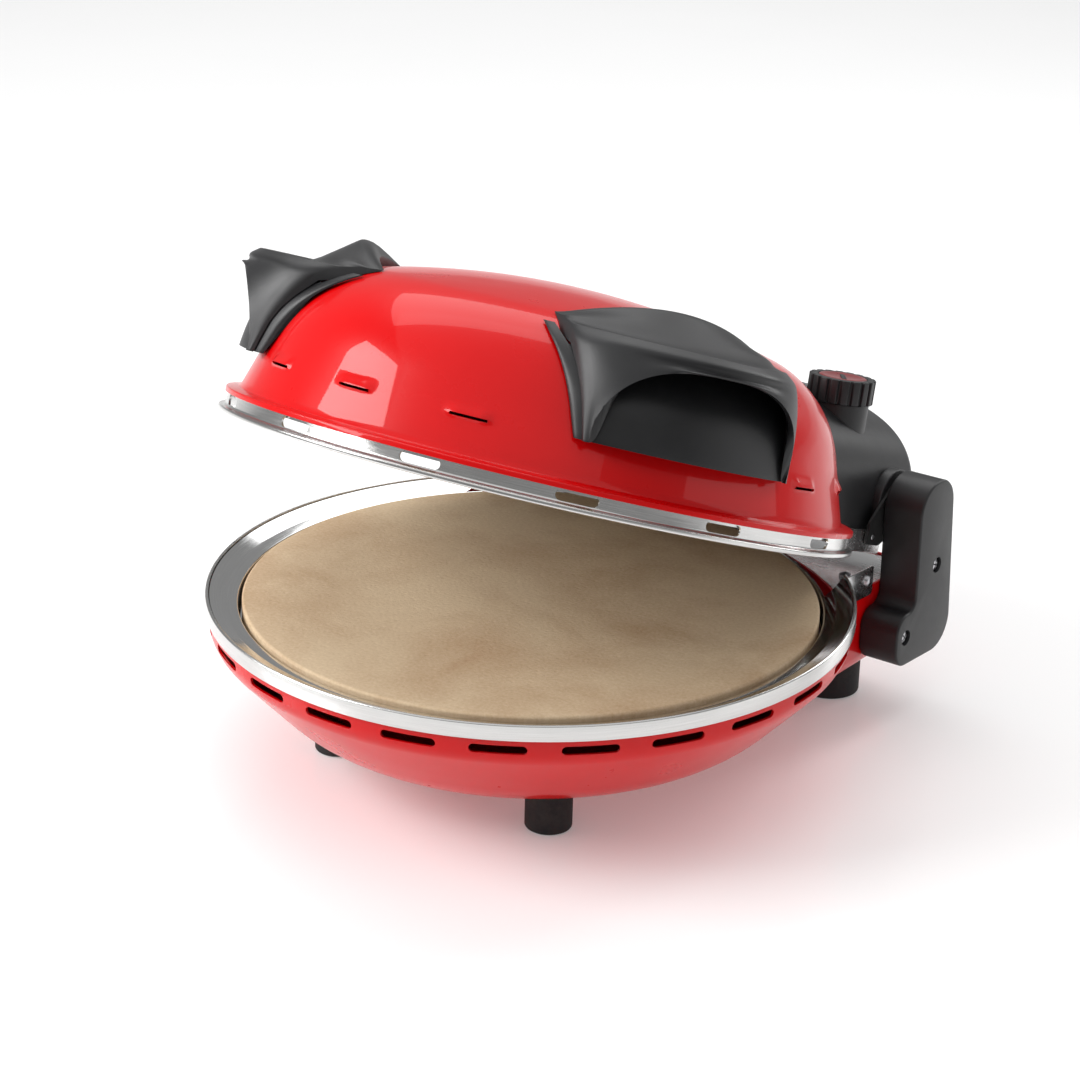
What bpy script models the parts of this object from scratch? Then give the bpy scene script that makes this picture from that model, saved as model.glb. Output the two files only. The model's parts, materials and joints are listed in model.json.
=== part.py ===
"""Countertop pizza oven with a hinged dome lid, stone plate and two side handles.

The oven stands on four feet on the plane Z = 0 and faces -Y; the lid swings about a
horizontal axis at the rear. Lid pieces are drawn in their closed place and carried by
an empty on the hinge axis, which holds the lid part-open.
"""
import math

import bmesh
import bpy
from mathutils import Matrix, Vector

# ---------------------------------------------------------------- driving dimensions
GAP = 0.0003                       # air between neighbouring pieces
SEGMENTS = 48                      # facets of the large round pieces
BOWL_CENTRE_Y = -0.0261            # bowl axis, so that the origin is the footprint's middle

# Base
RIM_Z = 0.091                      # top of the steel rim band
RIM_TOP_RADIUS = 0.1752
RIM_BOTTOM_RADIUS = 0.1762
RIM_INNER_RADIUS = 0.1743
RIM_BAND_HEIGHT = 0.0090
SHELL_WALL = 0.0015
SHELL_TOP_RADIUS = 0.1746
SHELL_BOTTOM_Z = 0.019
SHELL_FILLET = 0.016               # below the short upright wall
SHELL_FILLET_Z = 0.0775
SHELL_BELLY_RADIUS = 0.066         # between the flat bottom and the sloping wall
SHELL_SLOPE = math.radians(43.0)
SLOT_LENGTH = 0.029
SLOT_HEIGHT = 0.0048
SLOT_Z = 0.0765
SLOT_PHASE = math.radians(1.3)
SLOT_PITCH = math.radians(15.0)
SLOT_REACH = 8                     # slots each side of the front one

# Rear box of the base
BOX_HALF_WIDTH = 0.1252
BOX_FRONT_Y = 0.060
BOX_REAR_Y = 0.200
BOX_BOTTOM_Z = 0.026
BOX_TOP_Z = 0.075
BOX_CORNER = 0.020
BOX_EDGE = 0.009
NECK_CUT_HALF_WIDTH = 0.1242

# Pan, stone and elements
PAN_THICKNESS = 0.001
PAN_FLANGE_RADIUS = 0.1738
PAN_WALL_RADIUS = 0.1586
PAN_NECK_RADIUS = 0.1605
PAN_LEDGE_Z = 0.0732
PAN_FLOOR_Z = 0.0565
STONE_RADIUS = 0.1565
STONE_THICKNESS = 0.012
STONE_EDGE = 0.0015
ELEMENT_RADIUS = 0.0033
ELEMENT_LEAD_X = 0.014
LOWER_ELEMENT_RING = 0.110
LOWER_ELEMENT_Z = 0.066
UPPER_ELEMENT_RING = 0.112
UPPER_ELEMENT_HEIGHT = 0.0215      # above the ring of the lid
CLIP_WIDTH = 0.014
CLIP_THICKNESS = 0.0016

# Hinge
HINGE_Y = 0.177
HINGE_Z = 0.118
REST_OPENING = math.radians(20.2)
PIN_RADIUS = 0.004
PIN_CLEARANCE = 0.0003
ARM_INNER_X = 0.1256
ARM_OUTER_X = 0.150
BRACKET_THICKNESS = 0.002
HINGE_PLATE_X = 0.1233
HINGE_PLATE_THICKNESS = 0.0016

# Lid, heights counted from the bottom of its steel ring when closed
LID_SEAT = -0.0018                 # the ring drops inside the rim when closed
LID_Z = RIM_Z + LID_SEAT
RING_WALL_RADIUS = 0.1694
RING_WALL = 0.0012
RING_BEAD_RADIUS = 0.173
RING_HEIGHT = 0.0110
OVAL_LENGTH = 0.0215
OVAL_HEIGHT = 0.0055
OVAL_Z = 0.0068
OVAL_PITCH = math.radians(26.5)
OVAL_PHASE = math.radians(1.0)
DOME_WALL = 0.0012
DOME_HEIGHT = 0.1048
CROWN_RADIUS = 0.429
CROWN_EDGE = 0.108                 # where the shallow crown meets the shoulder
SHOULDER_RADIUS = 0.064
WALL_LEAN = math.radians(17.6)
WALL_FOOT_HEIGHT = 0.016
FLANGE_RADIUS = 0.171
DOME_CUT_Y = 0.108                 # flat rear face of the dome
DOME_CUT_HEIGHT = 0.0152
VENT_PHASE = math.radians(-4.0)
VENT_PITCH = math.radians(23.6)
VENT_PLACES = (-5, -4, -1, 0, 1, 4, 5)
VENT_HEIGHT = 0.0325
VENT_SIZE = (0.0195, 0.0022)

# Rear housing
HOUSING_HALF_WIDTH = 0.119
HUB_RADIUS = 0.0184                # round hubs of the housing at the pivots
HOUSING_BOTTOM = 0.0104
HOUSING_RISE = 0.0715
HOUSING_POWER = 3.2
HOUSING_WALL = 0.0025
HOUSING_FRONT_Y = 0.1084
HOUSING_REAR_Y = 0.214
HOUSING_ROUNDING = 0.011

# Thermostat knob
KNOB_X = 0.0875
KNOB_Y = 0.150
KNOB_RADIUS = 0.0188
KNOB_BOTTOM = 0.0772
KNOB_HEIGHT = 0.0136
KNOB_FLUTES = 18
KNOB_LEAN = math.radians(9.0)      # towards the front
BOSS_RADIUS = 0.017
SHAFT_RADIUS = 0.003

# Side handles
HANDLE_ANGLE = math.radians(60.0)
HANDLE_BOTTOM = 0.0340
HANDLE_BASE_TOP = 0.0765
LIP_Z = 0.080                      # the handle is longest at its lip
BASE_REACH = (0.0595, 0.068)       # half lengths at the bottom and at the lip
GRIP_REACH = (0.0575, 0.0625, 0.059)
PLATE_EDGE = 0.0035                # mounting plate, at its ends and in the middle
PLATE_FULL = 0.0125
EAR_START = 0.945                  # beyond the grip the plate stands up in an ear
EAR_FULL = 0.966
EAR_RISE = 0.0085
EAR_CLEAR = 0.0010
HANDLE_CLEAR = 0.0013              # plate to dome, wide enough for the dome's facets
GRIP_CLEAR = 0.0012
ARCH_SPAN = 0.965                  # share of the grip's length that the arch takes
ARCH_TOP = 0.0775

# Feet
FRONT_FOOT = (0.0715, -0.078, 0.0125)   # x, y, radius
REAR_FOOT = (0.096, 0.163, 0.0180)
FOOT_SCREW_HEAD = 0.0036
FOOT_SCREW_SHANK = 0.002

# Screws and fittings
SIDES = (("right", 1), ("left", -1))
DECK_SCREW = (0.106, 0.157)             # x, y
PLATE_SCREW = (0.1570, 0.0965)          # y, z
ARM_SCREWS = ((0.1824, 0.0847), (0.1520, 0.0500))
HANDLE_SCREWS = (-0.030, 0.030)         # along the handle
HANDLE_SCREW_HEIGHT = 0.055
GLAND_X, GLAND_Z, GLAND_NECK = -0.060, 0.047, 0.0058
PROBE = (0.045, 0.070)
LAMP = (0.060, 0.124)

RED_PAINT = ("red_enamel", (0.62, 0.012, 0.014), 0.22, 0.0)
DARK_RED = ("dark_red_plastic", (0.16, 0.010, 0.012), 0.35, 0.0)
STEEL = ("polished_steel", (0.70, 0.70, 0.69), 0.18, 1.0)
BRUSHED = ("brushed_steel", (0.62, 0.61, 0.60), 0.34, 1.0)
BLACK = ("black_plastic", (0.022, 0.021, 0.021), 0.50, 0.0)
BLACK_STEEL = ("black_steel", (0.020, 0.020, 0.020), 0.40, 0.0)
RUBBER = ("foot_rubber", (0.018, 0.018, 0.018), 0.75, 0.0)
STONE = ("refractory_stone", (0.56, 0.40, 0.24), 0.90, 0.0)
ELEMENT = ("element_sheath", (0.10, 0.095, 0.09), 0.55, 1.0)
CERAMIC = ("ceramic", (0.78, 0.76, 0.70), 0.60, 0.0)
SCREW = ("zinc_screw", (0.55, 0.55, 0.56), 0.30, 1.0)
LENS = ("lamp_lens", (0.80, 0.42, 0.20), 0.12, 0.0)

HINGE = Vector((0.0, HINGE_Y, HINGE_Z))
KNOB_CENTRE = Vector((KNOB_X, KNOB_Y, LID_Z + KNOB_BOTTOM))


# ---------------------------------------------------------------- scene helpers
def clear_scene():
    for obj in list(bpy.data.objects):
        bpy.data.objects.remove(obj, do_unlink=True)


def make_collection(name):
    collection = bpy.data.collections.new(name)
    bpy.context.scene.collection.children.link(collection)
    return collection


def make_empty(name, location, parent=None, pivot=Vector((0, 0, 0))):
    empty = bpy.data.objects.new(name, None)
    empty.location = location
    parts.objects.link(empty)
    if parent is not None:
        empty.parent = parent
        empty.matrix_parent_inverse = Matrix.Translation(-pivot)
    return empty


def get_material(spec):
    name, colour, roughness, metallic = spec
    found = bpy.data.materials.get(name)
    if found:
        return found
    made = bpy.data.materials.new(name)
    made.use_nodes = True
    shader = made.node_tree.nodes["Principled BSDF"]
    shader.inputs["Base Color"].default_value = (*colour, 1.0)
    shader.inputs["Roughness"].default_value = roughness
    shader.inputs["Metallic"].default_value = metallic
    return made


class Carrier:
    """Places pieces on one of the oven's bodies."""

    def __init__(self, empty, pivot):
        self.empty = empty
        self.pivot = pivot

    def hold(self, obj):
        obj.parent = self.empty
        obj.matrix_parent_inverse = Matrix.Translation(-self.pivot)
        return obj

    def piece(self, obj, spec):
        parts.objects.link(obj)
        obj.data.materials.append(get_material(spec))
        return self.hold(obj)

    def cutter(self, obj):
        cutters.objects.link(obj)
        obj.hide_render = True
        obj.display_type = "WIRE"
        return self.hold(obj)


def boolean(target, tool, operation="DIFFERENCE"):
    modifier = target.modifiers.new(operation.lower(), "BOOLEAN")
    modifier.operation = operation
    modifier.solver = "EXACT"
    modifier.object = tool


def shade(mesh, angle=math.radians(35.0)):
    mesh.shade_smooth()
    mesh.set_sharp_from_angle(angle=angle)


# ---------------------------------------------------------------- shape helpers
def mesh_object(name, bm):
    bmesh.ops.recalc_face_normals(bm, faces=bm.faces)
    mesh = bpy.data.meshes.new(name)
    bm.to_mesh(mesh)
    bm.free()
    shade(mesh)
    return bpy.data.objects.new(name, mesh)


def add_box(bm, low, high):
    low, high = Vector(low), Vector(high)
    size = high - low
    matrix = Matrix.Translation((low + high) / 2) @ Matrix.Diagonal((*size, 1.0))
    return bmesh.ops.create_cube(bm, size=1.0, matrix=matrix)["verts"]


def add_rod(bm, start, end, radius, segments=24):
    start, end = Vector(start), Vector(end)
    along = end - start
    turn = along.to_track_quat("Z", "Y").to_matrix().to_4x4()
    matrix = Matrix.Translation((start + end) / 2) @ turn
    bmesh.ops.create_cone(bm, cap_ends=True, segments=segments, radius1=radius,
                          radius2=radius, depth=along.length, matrix=matrix)


def box(name, low, high):
    bm = bmesh.new()
    add_box(bm, low, high)
    return mesh_object(name, bm)


def rods(name, rows, segments=24):
    """Separate round rods in one object; rows of (start, end, radius)."""
    bm = bmesh.new()
    for start, end, radius in rows:
        add_rod(bm, start, end, radius, segments)
    return mesh_object(name, bm)


def turned(name, profile, closed=True, segments=SEGMENTS, thickness=0.0):
    """Turn a profile of (radius, height) about Z; it runs down its outer side."""
    mesh = bpy.data.meshes.new(name)
    count = len(profile)
    edges = [(i, i + 1) for i in range(count - 1)]
    on_axis = profile[0][0] == 0.0 and profile[-1][0] == 0.0
    if closed and not on_axis:
        edges.append((count - 1, 0))
    mesh.from_pydata([(radius, 0.0, height) for radius, height in profile], edges, [])
    obj = bpy.data.objects.new(name, mesh)
    screw = obj.modifiers.new("turn", "SCREW")
    screw.steps = segments
    screw.render_steps = segments
    screw.use_merge_vertices = True
    screw.merge_threshold = 0.00001
    if thickness:
        wall = obj.modifiers.new("wall", "SOLIDIFY")
        wall.thickness = thickness
        wall.offset = -1.0
    return obj


def arc(centre, radius, start, end, steps):
    """Points of an arc, angles in radians from the first axis."""
    turn = (end - start) / steps
    return [(centre[0] + radius * math.cos(start + turn * i),
             centre[1] + radius * math.sin(start + turn * i)) for i in range(steps + 1)]


def rounded(corners, steps=5):
    """Outline through corners of (u, v, radius), each rounded by an arc."""
    outline = []
    count = len(corners)
    for i, (u, v, radius) in enumerate(corners):
        here = Vector((u, v))
        back = (Vector(corners[i - 1][:2]) - here).normalized()
        ahead = (Vector(corners[(i + 1) % count][:2]) - here).normalized()
        if radius == 0.0:
            outline.append((u, v))
            continue
        half = back.angle(ahead) / 2
        reach = radius / math.tan(half)
        first, last = here + back * reach, here + ahead * reach
        centre = here + (back + ahead).normalized() * (radius / math.sin(half))
        for k in range(steps + 1):
            way = first.lerp(last, k / steps) - centre
            outline.append(tuple(centre + way.normalized() * radius))
    return outline


def flat_piece(name, outline, thickness, matrix):
    """Closed plate: an outline in the local XY plane, centred on it in thickness."""
    curve = bpy.data.curves.new(name, "CURVE")
    curve.dimensions = "2D"
    curve.fill_mode = "BOTH"
    curve.extrude = thickness / 2
    spline = curve.splines.new("POLY")
    spline.points.add(len(outline) - 1)
    for point, (u, v) in zip(spline.points, outline):
        point.co = (u, v, 0.0, 1.0)
    spline.use_cyclic_u = True
    obj = mesh_from_curve(name, curve)
    obj.data.transform(matrix)
    return obj


def tube(name, points, radius, sides=3):
    """Round bar with closed ends along a list of points."""
    curve = bpy.data.curves.new(name, "CURVE")
    curve.dimensions = "3D"
    curve.bevel_depth = radius
    curve.bevel_resolution = sides
    curve.use_fill_caps = True
    spline = curve.splines.new("POLY")
    spline.points.add(len(points) - 1)
    for point, place in zip(spline.points, points):
        point.co = (*place, 1.0)
    return mesh_from_curve(name, curve)


def mesh_from_curve(name, curve):
    source = bpy.data.objects.new(name + "_curve", curve)
    parts.objects.link(source)
    depsgraph = bpy.context.evaluated_depsgraph_get()
    mesh = bpy.data.meshes.new_from_object(source.evaluated_get(depsgraph))
    bm = bmesh.new()
    bm.from_mesh(mesh)
    bmesh.ops.remove_doubles(bm, verts=bm.verts, dist=0.00001)
    bmesh.ops.recalc_face_normals(bm, faces=bm.faces)
    bm.to_mesh(mesh)
    bm.free()
    mesh.name = name
    shade(mesh)
    bpy.data.objects.remove(source)
    return bpy.data.objects.new(name, mesh)


def loft(name, rings):
    """Closed solid through rings of equal length, capped at both ends."""
    bm = bmesh.new()
    rows = [[bm.verts.new(place) for place in ring] for ring in rings]
    count = len(rows[0])
    for first, second in zip(rows, rows[1:]):
        for i in range(count):
            j = (i + 1) % count
            bm.faces.new((first[i], first[j], second[j], second[i]))
    bm.faces.new(reversed(rows[0]))
    bm.faces.new(rows[-1])
    bmesh.ops.triangulate(bm, faces=[f for f in bm.faces if len(f.verts) > 4])
    return mesh_object(name, bm)


def side_plane(x):
    """Maps an outline's (u, v) to (Y, Z) on the plane at X = x."""
    return Matrix(((0, 0, 1, x), (1, 0, 0, 0), (0, 1, 0, 0), (0, 0, 0, 1)))


def polar(angle, radius, height):
    """Point at an angle from the front, growing towards +X."""
    return Vector((radius * math.sin(angle), -radius * math.cos(angle), height))


def capsule_row(name, angles, radius, height, length, width, depth):
    """Cutters with round ends, standing radially around the axis."""
    half = length / 2 - width / 2
    outline = arc((half, 0), width / 2, -math.pi / 2, math.pi / 2, 3)
    outline += arc((-half, 0), width / 2, math.pi / 2, 1.5 * math.pi, 3)
    bm = bmesh.new()
    for angle in angles:
        centre = polar(angle, radius, height)
        out = polar(angle, 1.0, 0.0)
        along = Vector((math.cos(angle), math.sin(angle), 0.0))
        rows = []
        for reach in (-depth / 2, depth / 2):
            rows.append([bm.verts.new(centre + out * reach + along * u + Vector((0, 0, v)))
                         for u, v in outline])
        count = len(outline)
        for i in range(count):
            j = (i + 1) % count
            bm.faces.new((rows[0][i], rows[0][j], rows[1][j], rows[1][i]))
        bm.faces.new(reversed(rows[0]))
        bm.faces.new(rows[1])
    return mesh_object(name, bm)


# ---------------------------------------------------------------- base shell and rim
def bowl_profile(grow=0.0, top=RIM_Z - RIM_BAND_HEIGHT - GAP):
    """Closed profile of the bowl's outside, grown outward by a margin."""
    fillet = arc((SHELL_TOP_RADIUS - SHELL_FILLET, SHELL_FILLET_Z), SHELL_FILLET + grow,
                 0.0, -SHELL_SLOPE, 2)
    corner = fillet[-1]
    radius = SHELL_BELLY_RADIUS + grow
    belly_z = SHELL_BOTTOM_Z + SHELL_BELLY_RADIUS
    drop = corner[1] - (belly_z - radius * math.sin(SHELL_SLOPE))
    belly_x = corner[0] - drop * math.tan(SHELL_SLOPE) - radius * math.cos(SHELL_SLOPE)
    belly = arc((belly_x, belly_z), radius, -SHELL_SLOPE, -math.pi / 2, 3)
    return [(0.0, top), (SHELL_TOP_RADIUS + grow, top), *fillet, *belly,
            (0.0, SHELL_BOTTOM_Z - grow)]


def rear_box(name, shrink, top):
    """Rear box with round upright corners and a round lower edge."""
    bm = bmesh.new()
    half = BOX_HALF_WIDTH - shrink
    front, rear = BOX_FRONT_Y + shrink, BOX_REAR_Y - shrink
    bottom = BOX_BOTTOM_Z + shrink
    add_box(bm, (-half, front, bottom), (half, rear, top))
    tiny = 1e-6
    upright = [e for e in bm.edges if all(v.co.y > rear - tiny for v in e.verts)
               and abs(e.verts[0].co.x - e.verts[1].co.x) < tiny]
    bmesh.ops.bevel(bm, geom=upright, offset=BOX_CORNER - shrink, segments=5,
                    affect="EDGES", profile=0.5)
    low = [e for e in bm.edges if all(v.co.z < bottom + tiny for v in e.verts)
           and not all(v.co.y < front + tiny for v in e.verts)]
    bmesh.ops.bevel(bm, geom=low, offset=BOX_EDGE - shrink, segments=3,
                    affect="EDGES", profile=0.5)
    return mesh_object(name, bm)


def make_lower_shell():
    shell = base.piece(turned("lower_shell", bowl_profile()), RED_PAINT)
    boolean(shell, base.cutter(rear_box("rear_box_outside", 0.0, BOX_TOP_Z)), "UNION")
    inside = base.cutter(turned("bowl_inside", bowl_profile(-SHELL_WALL, RIM_Z + 0.01)))
    boolean(shell, inside)
    pocket = base.cutter(rear_box("rear_box_inside", SHELL_WALL, RIM_Z + 0.01))
    boolean(pocket, base.cutter(turned("bowl_outside", bowl_profile(-0.0002))))
    boolean(shell, pocket)
    neck_low = (-BOX_HALF_WIDTH + SHELL_WALL, 0.05, BOX_TOP_Z)
    neck_high = (BOX_HALF_WIDTH - SHELL_WALL, 0.25, RIM_Z)
    boolean(shell, base.cutter(box("neck_opening", neck_low, neck_high)))
    window = box("element_window", (-0.030, 0.12, 0.059), (0.030, 0.19, 0.0725))
    boolean(shell, base.cutter(window))
    angles = [SLOT_PHASE + SLOT_PITCH * i for i in range(-SLOT_REACH, SLOT_REACH + 1)]
    slots = capsule_row("base_slots", angles, SHELL_TOP_RADIUS - 0.002, SLOT_Z,
                        SLOT_LENGTH, SLOT_HEIGHT, 0.016)
    boolean(shell, base.cutter(slots))
    boolean(shell, base.cutter(rods("shell_holes", shell_holes())))


def shell_holes():
    rows = []
    for x, y, _ in foot_places():
        rows.append(((x, y, 0.010), (x, y, 0.034), FOOT_SCREW_SHANK + GAP))
    rows.append(((GLAND_X, BOX_REAR_Y - 0.01, GLAND_Z), (GLAND_X, BOX_REAR_Y + 0.01, GLAND_Z),
                 GLAND_NECK + GAP))
    return rows


def make_rim_ring():
    low = RIM_Z - RIM_BAND_HEIGHT
    profile = [(RIM_INNER_RADIUS, RIM_Z - 0.0007), (RIM_TOP_RADIUS, RIM_Z),
               (RIM_TOP_RADIUS + 0.001, RIM_Z - 0.0006), (RIM_BOTTOM_RADIUS, low),
               (RIM_INNER_RADIUS, low)]
    ring = base.piece(turned("lower_rim_ring", profile), BRUSHED)
    opening = box("ring_opening", (-NECK_CUT_HALF_WIDTH, 0.05, 0.07),
                  (NECK_CUT_HALF_WIDTH, 0.25, 0.10))
    boolean(ring, base.cutter(opening))


def make_pan():
    profile = [(PAN_FLANGE_RADIUS, 0.0886), (0.1655, 0.0856), (PAN_WALL_RADIUS, 0.0844),
               (PAN_WALL_RADIUS, PAN_LEDGE_Z), (0.1485, PAN_LEDGE_Z), (0.1470, 0.058),
               (0.0, PAN_FLOOR_Z)]
    pan = base.piece(turned("lower_pan", profile, closed=False, thickness=PAN_THICKNESS), STEEL)
    trim = turned("pan_neck_trim", [(PAN_NECK_RADIUS, 0.10), (0.19, 0.10), (0.19, 0.05),
                                    (PAN_NECK_RADIUS, 0.05)])
    base.cutter(trim)
    keep_side = box("pan_neck_side", (-NECK_CUT_HALF_WIDTH, 0.08, 0.04),
                    (NECK_CUT_HALF_WIDTH, 0.25, 0.11))
    boolean(trim, base.cutter(keep_side), "INTERSECT")
    boolean(pan, trim)
    window = box("pan_window", (-0.022, 0.135, 0.061), (0.022, 0.17, 0.0712))
    boolean(pan, base.cutter(window))


def make_stone():
    top = PAN_LEDGE_Z + PAN_THICKNESS + GAP + STONE_THICKNESS
    bottom = top - STONE_THICKNESS
    profile = [(0.0, top), (STONE_RADIUS - STONE_EDGE, top), (STONE_RADIUS, top - STONE_EDGE),
               (STONE_RADIUS, bottom + STONE_EDGE), (STONE_RADIUS - STONE_EDGE, bottom),
               (0.0, bottom)]
    base.piece(turned("pizza_stone", profile), STONE)


def element_path(ring, height, lead_y):
    """Leads run straight back from a ring that is open at the rear."""
    gap_angle = math.asin(ELEMENT_LEAD_X / ring)
    start, end = math.pi - gap_angle, gap_angle - math.pi
    steps = 30
    points = [Vector((ELEMENT_LEAD_X, lead_y, height))]
    for i in range(steps + 1):
        points.append(polar(start + (end - start) * i / steps, ring, height))
    points.append(Vector((-ELEMENT_LEAD_X, lead_y, height)))
    return points


def make_clips(carrier, prefix, ring, height, foot, head):
    """Upright tabs with a hole that the heating tube passes through."""
    for i, angle in enumerate((math.radians(-100), 0.0, math.radians(100))):
        centre = polar(angle, ring, 0.0)
        turn = Matrix.Translation(centre) @ Matrix.Rotation(angle, 4, "Z")
        low = (-CLIP_THICKNESS / 2, -CLIP_WIDTH / 2, foot)
        high = (CLIP_THICKNESS / 2, CLIP_WIDTH / 2, head)
        clip = box(f"{prefix}_{i + 1}", low, high)
        clip.data.transform(turn)
        carrier.piece(clip, STEEL)
        along = Vector((math.cos(angle), math.sin(angle), 0.0)) * 0.01
        middle = centre + Vector((0, 0, height))
        hole = rods(f"{prefix}_hole_{i + 1}", [(middle - along, middle + along,
                                                ELEMENT_RADIUS + 0.0006)])
        boolean(clip, carrier.cutter(hole))


def make_lower_heating():
    path = element_path(LOWER_ELEMENT_RING, LOWER_ELEMENT_Z, 0.186)
    base.piece(tube("lower_element", path, ELEMENT_RADIUS, 1), ELEMENT)
    make_clips(base, "lower_element_clip", LOWER_ELEMENT_RING, LOWER_ELEMENT_Z,
               0.0590, 0.0715)


def make_deck():
    """Steel plate over the rear box, round where it meets the bowl."""
    half, rear = BOX_HALF_WIDTH - SHELL_WALL - GAP, BOX_REAR_Y - SHELL_WALL - GAP
    corner = BOX_CORNER - SHELL_WALL - GAP
    outline = rounded([(-half, 0.125, 0), (half, 0.125, 0), (half, rear, corner),
                       (-half, rear, corner)])
    plate = flat_piece("rear_deck_plate", outline, 0.0012, Matrix.Translation((0, 0, 0.0734)))
    base.piece(plate, STEEL)
    boolean(plate, base.cutter(rods("deck_round", [((0, 0, 0.06), (0, 0, 0.09), 0.1757)],
                                    SEGMENTS)))
    holes = []
    for side, sign in SIDES:
        x = sign * DECK_SCREW[0]
        holes.append(((x, DECK_SCREW[1], 0.06), (x, DECK_SCREW[1], 0.09), 0.0021))
        screw = turned("deck_screw_" + side, [(0, 0.0764), (0.0026, 0.0764), (0.0038, 0.0752),
                                              (0.0038, 0.0743), (0.0018, 0.0743),
                                              (0.0018, 0.066), (0, 0.066)], segments=20)
        screw.location = (x, DECK_SCREW[1], 0)
        base.piece(screw, SCREW)
    boolean(plate, base.cutter(rods("deck_holes", holes, 16)))


# ---------------------------------------------------------------- feet and fittings
def foot_places():
    rows = []
    for x, y, radius in (FRONT_FOOT, REAR_FOOT):
        rows.append((x, y, radius))
        rows.append((-x, y, radius))
    return rows


def foot_names():
    return ("front_right", "front_left", "rear_right", "rear_left")


def make_feet():
    keep_bowl = base.cutter(turned("bowl_clearance", bowl_profile(GAP)))
    for name, (x, y, radius) in zip(foot_names(), foot_places()):
        rear = y > 0
        top = BOX_BOTTOM_Z - GAP if rear else 0.030
        head, hole = FOOT_SCREW_HEAD + 0.0004, FOOT_SCREW_SHANK + GAP
        profile = [(hole, top), (radius, top), (radius, 0.0012), (radius - 0.0012, 0.0),
                   (head, 0.0), (head, 0.0083), (hole, 0.0083)]
        foot = turned("foot_" + name, profile, segments=24)
        foot.location = (x, y, 0)
        base.piece(foot, RUBBER)
        if not rear:
            boolean(foot, keep_bowl)
        tip = 0.032
        bolt = [(0, tip), (FOOT_SCREW_SHANK, tip), (FOOT_SCREW_SHANK, 0.008),
                (FOOT_SCREW_HEAD, 0.008), (FOOT_SCREW_HEAD, 0.006), (0, 0.0055)]
        screw = turned("foot_screw_" + name, bolt, segments=16)
        screw.location = (x, y, 0)
        base.piece(screw, SCREW)


def make_wiring():
    base.piece(box("terminal_block", (0.030, 0.170, 0.0280), (0.066, 0.192, 0.046)), CERAMIC)
    inside_y, outside_y = BOX_REAR_Y - SHELL_WALL - 0.006, BOX_REAR_Y + GAP
    profile = [(0.0035, 0.012), (0.0068, 0.012), (0.0085, 0.003), (0.0085, 0.0),
               (GLAND_NECK, 0.0), (GLAND_NECK, inside_y - outside_y),
               (0.0035, inside_y - outside_y)]
    gland = turned("cord_gland", profile, segments=24)
    gland.rotation_euler = (-math.pi / 2, 0, 0)
    gland.location = (GLAND_X, outside_y, GLAND_Z)
    base.piece(gland, BLACK)


# ---------------------------------------------------------------- hinge
def arm_outline(inset=0.0):
    """Side view of a hinge arm in (Y, Z), round at the pivot and footed forward below."""
    i = inset
    corners = [(0.1420 + i, 0.0330 + i, 0.012 - i), (0.2045 - i, 0.0300 + i, 0.018 - i),
               (0.1955 - i, 0.1360 - i, 0.017 - i), (0.1595 + i, 0.1360 - i, 0.017 - i),
               (0.1610 + i, 0.0640 - i, 0.007 + i), (0.1420 + i, 0.0640 - i, 0.0105 - i)]
    return rounded(corners, 4)


def make_arms():
    for side, sign in SIDES:
        middle = sign * (ARM_INNER_X + ARM_OUTER_X) / 2
        arm = flat_piece("hinge_arm_" + side, arm_outline(), ARM_OUTER_X - ARM_INNER_X,
                         side_plane(middle))
        base.piece(arm, BLACK)
        bevel = arm.modifiers.new("edge", "BEVEL")
        bevel.width = 0.0012
        bevel.segments = 1
        bevel.limit_method = "ANGLE"
        bevel.angle_limit = math.radians(60)
        pocket_x = sign * (ARM_INNER_X + 0.0011)
        pocket = flat_piece("bracket_pocket_" + side, arm_outline(0.0045),
                            BRACKET_THICKNESS + 0.0008, side_plane(pocket_x))
        boolean(arm, base.cutter(pocket))
        bracket_x = sign * (ARM_INNER_X + GAP + BRACKET_THICKNESS / 2)
        bracket = flat_piece("hinge_bracket_" + side, arm_outline(0.0049),
                             BRACKET_THICKNESS - GAP, side_plane(bracket_x))
        base.piece(bracket, STEEL)
        pin_hole = ((sign * 0.10, HINGE_Y, HINGE_Z), (sign * 0.1395, HINGE_Y, HINGE_Z),
                    PIN_RADIUS + PIN_CLEARANCE)
        recesses, bores = [], [pin_hole]
        for y, z in ARM_SCREWS:
            recesses.append(((sign * 0.142, y, z), (sign * 0.152, y, z), 0.0045))
            bores.append(((sign * 0.128, y, z), (sign * 0.143, y, z), 0.0023))
        boolean(arm, base.cutter(rods("arm_recesses_" + side, recesses, 16)))
        boolean(arm, base.cutter(rods("arm_bores_" + side, bores, 12)))
        boolean(bracket, base.cutter(rods("bracket_hole_" + side, [pin_hole], 16)))
        for place, (y, z) in zip(("upper", "lower"), ARM_SCREWS):
            make_arm_screw(f"arm_screw_{side}_{place}", sign, y, z)
        make_hinge_pin(side, sign)


def make_arm_screw(name, sign, y, z):
    profile = [(0, 0.0026), (0.0030, 0.0026), (0.0040, 0.0016), (0.0040, 0.0), (0.0019, 0.0),
               (0.0019, -0.0130), (0, -0.0130)]
    screw = turned(name, profile, segments=20)
    screw.rotation_euler = (0, sign * math.pi / 2, 0)
    screw.location = (sign * 0.1424, y, z)
    base.piece(screw, SCREW)


def make_hinge_pin(side, sign):
    head, tip = 0.1115, 0.1390
    profile = [(0, tip), (PIN_RADIUS, tip), (PIN_RADIUS, head + 0.0022), (0.0065, head + 0.0022),
               (0.0065, head), (0, head)]
    pin = turned("hinge_pin_" + side, profile, segments=24)
    pin.rotation_euler = (0, sign * math.pi / 2, 0)
    pin.location = (0, HINGE_Y, HINGE_Z)
    base.piece(pin, SCREW)


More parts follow.
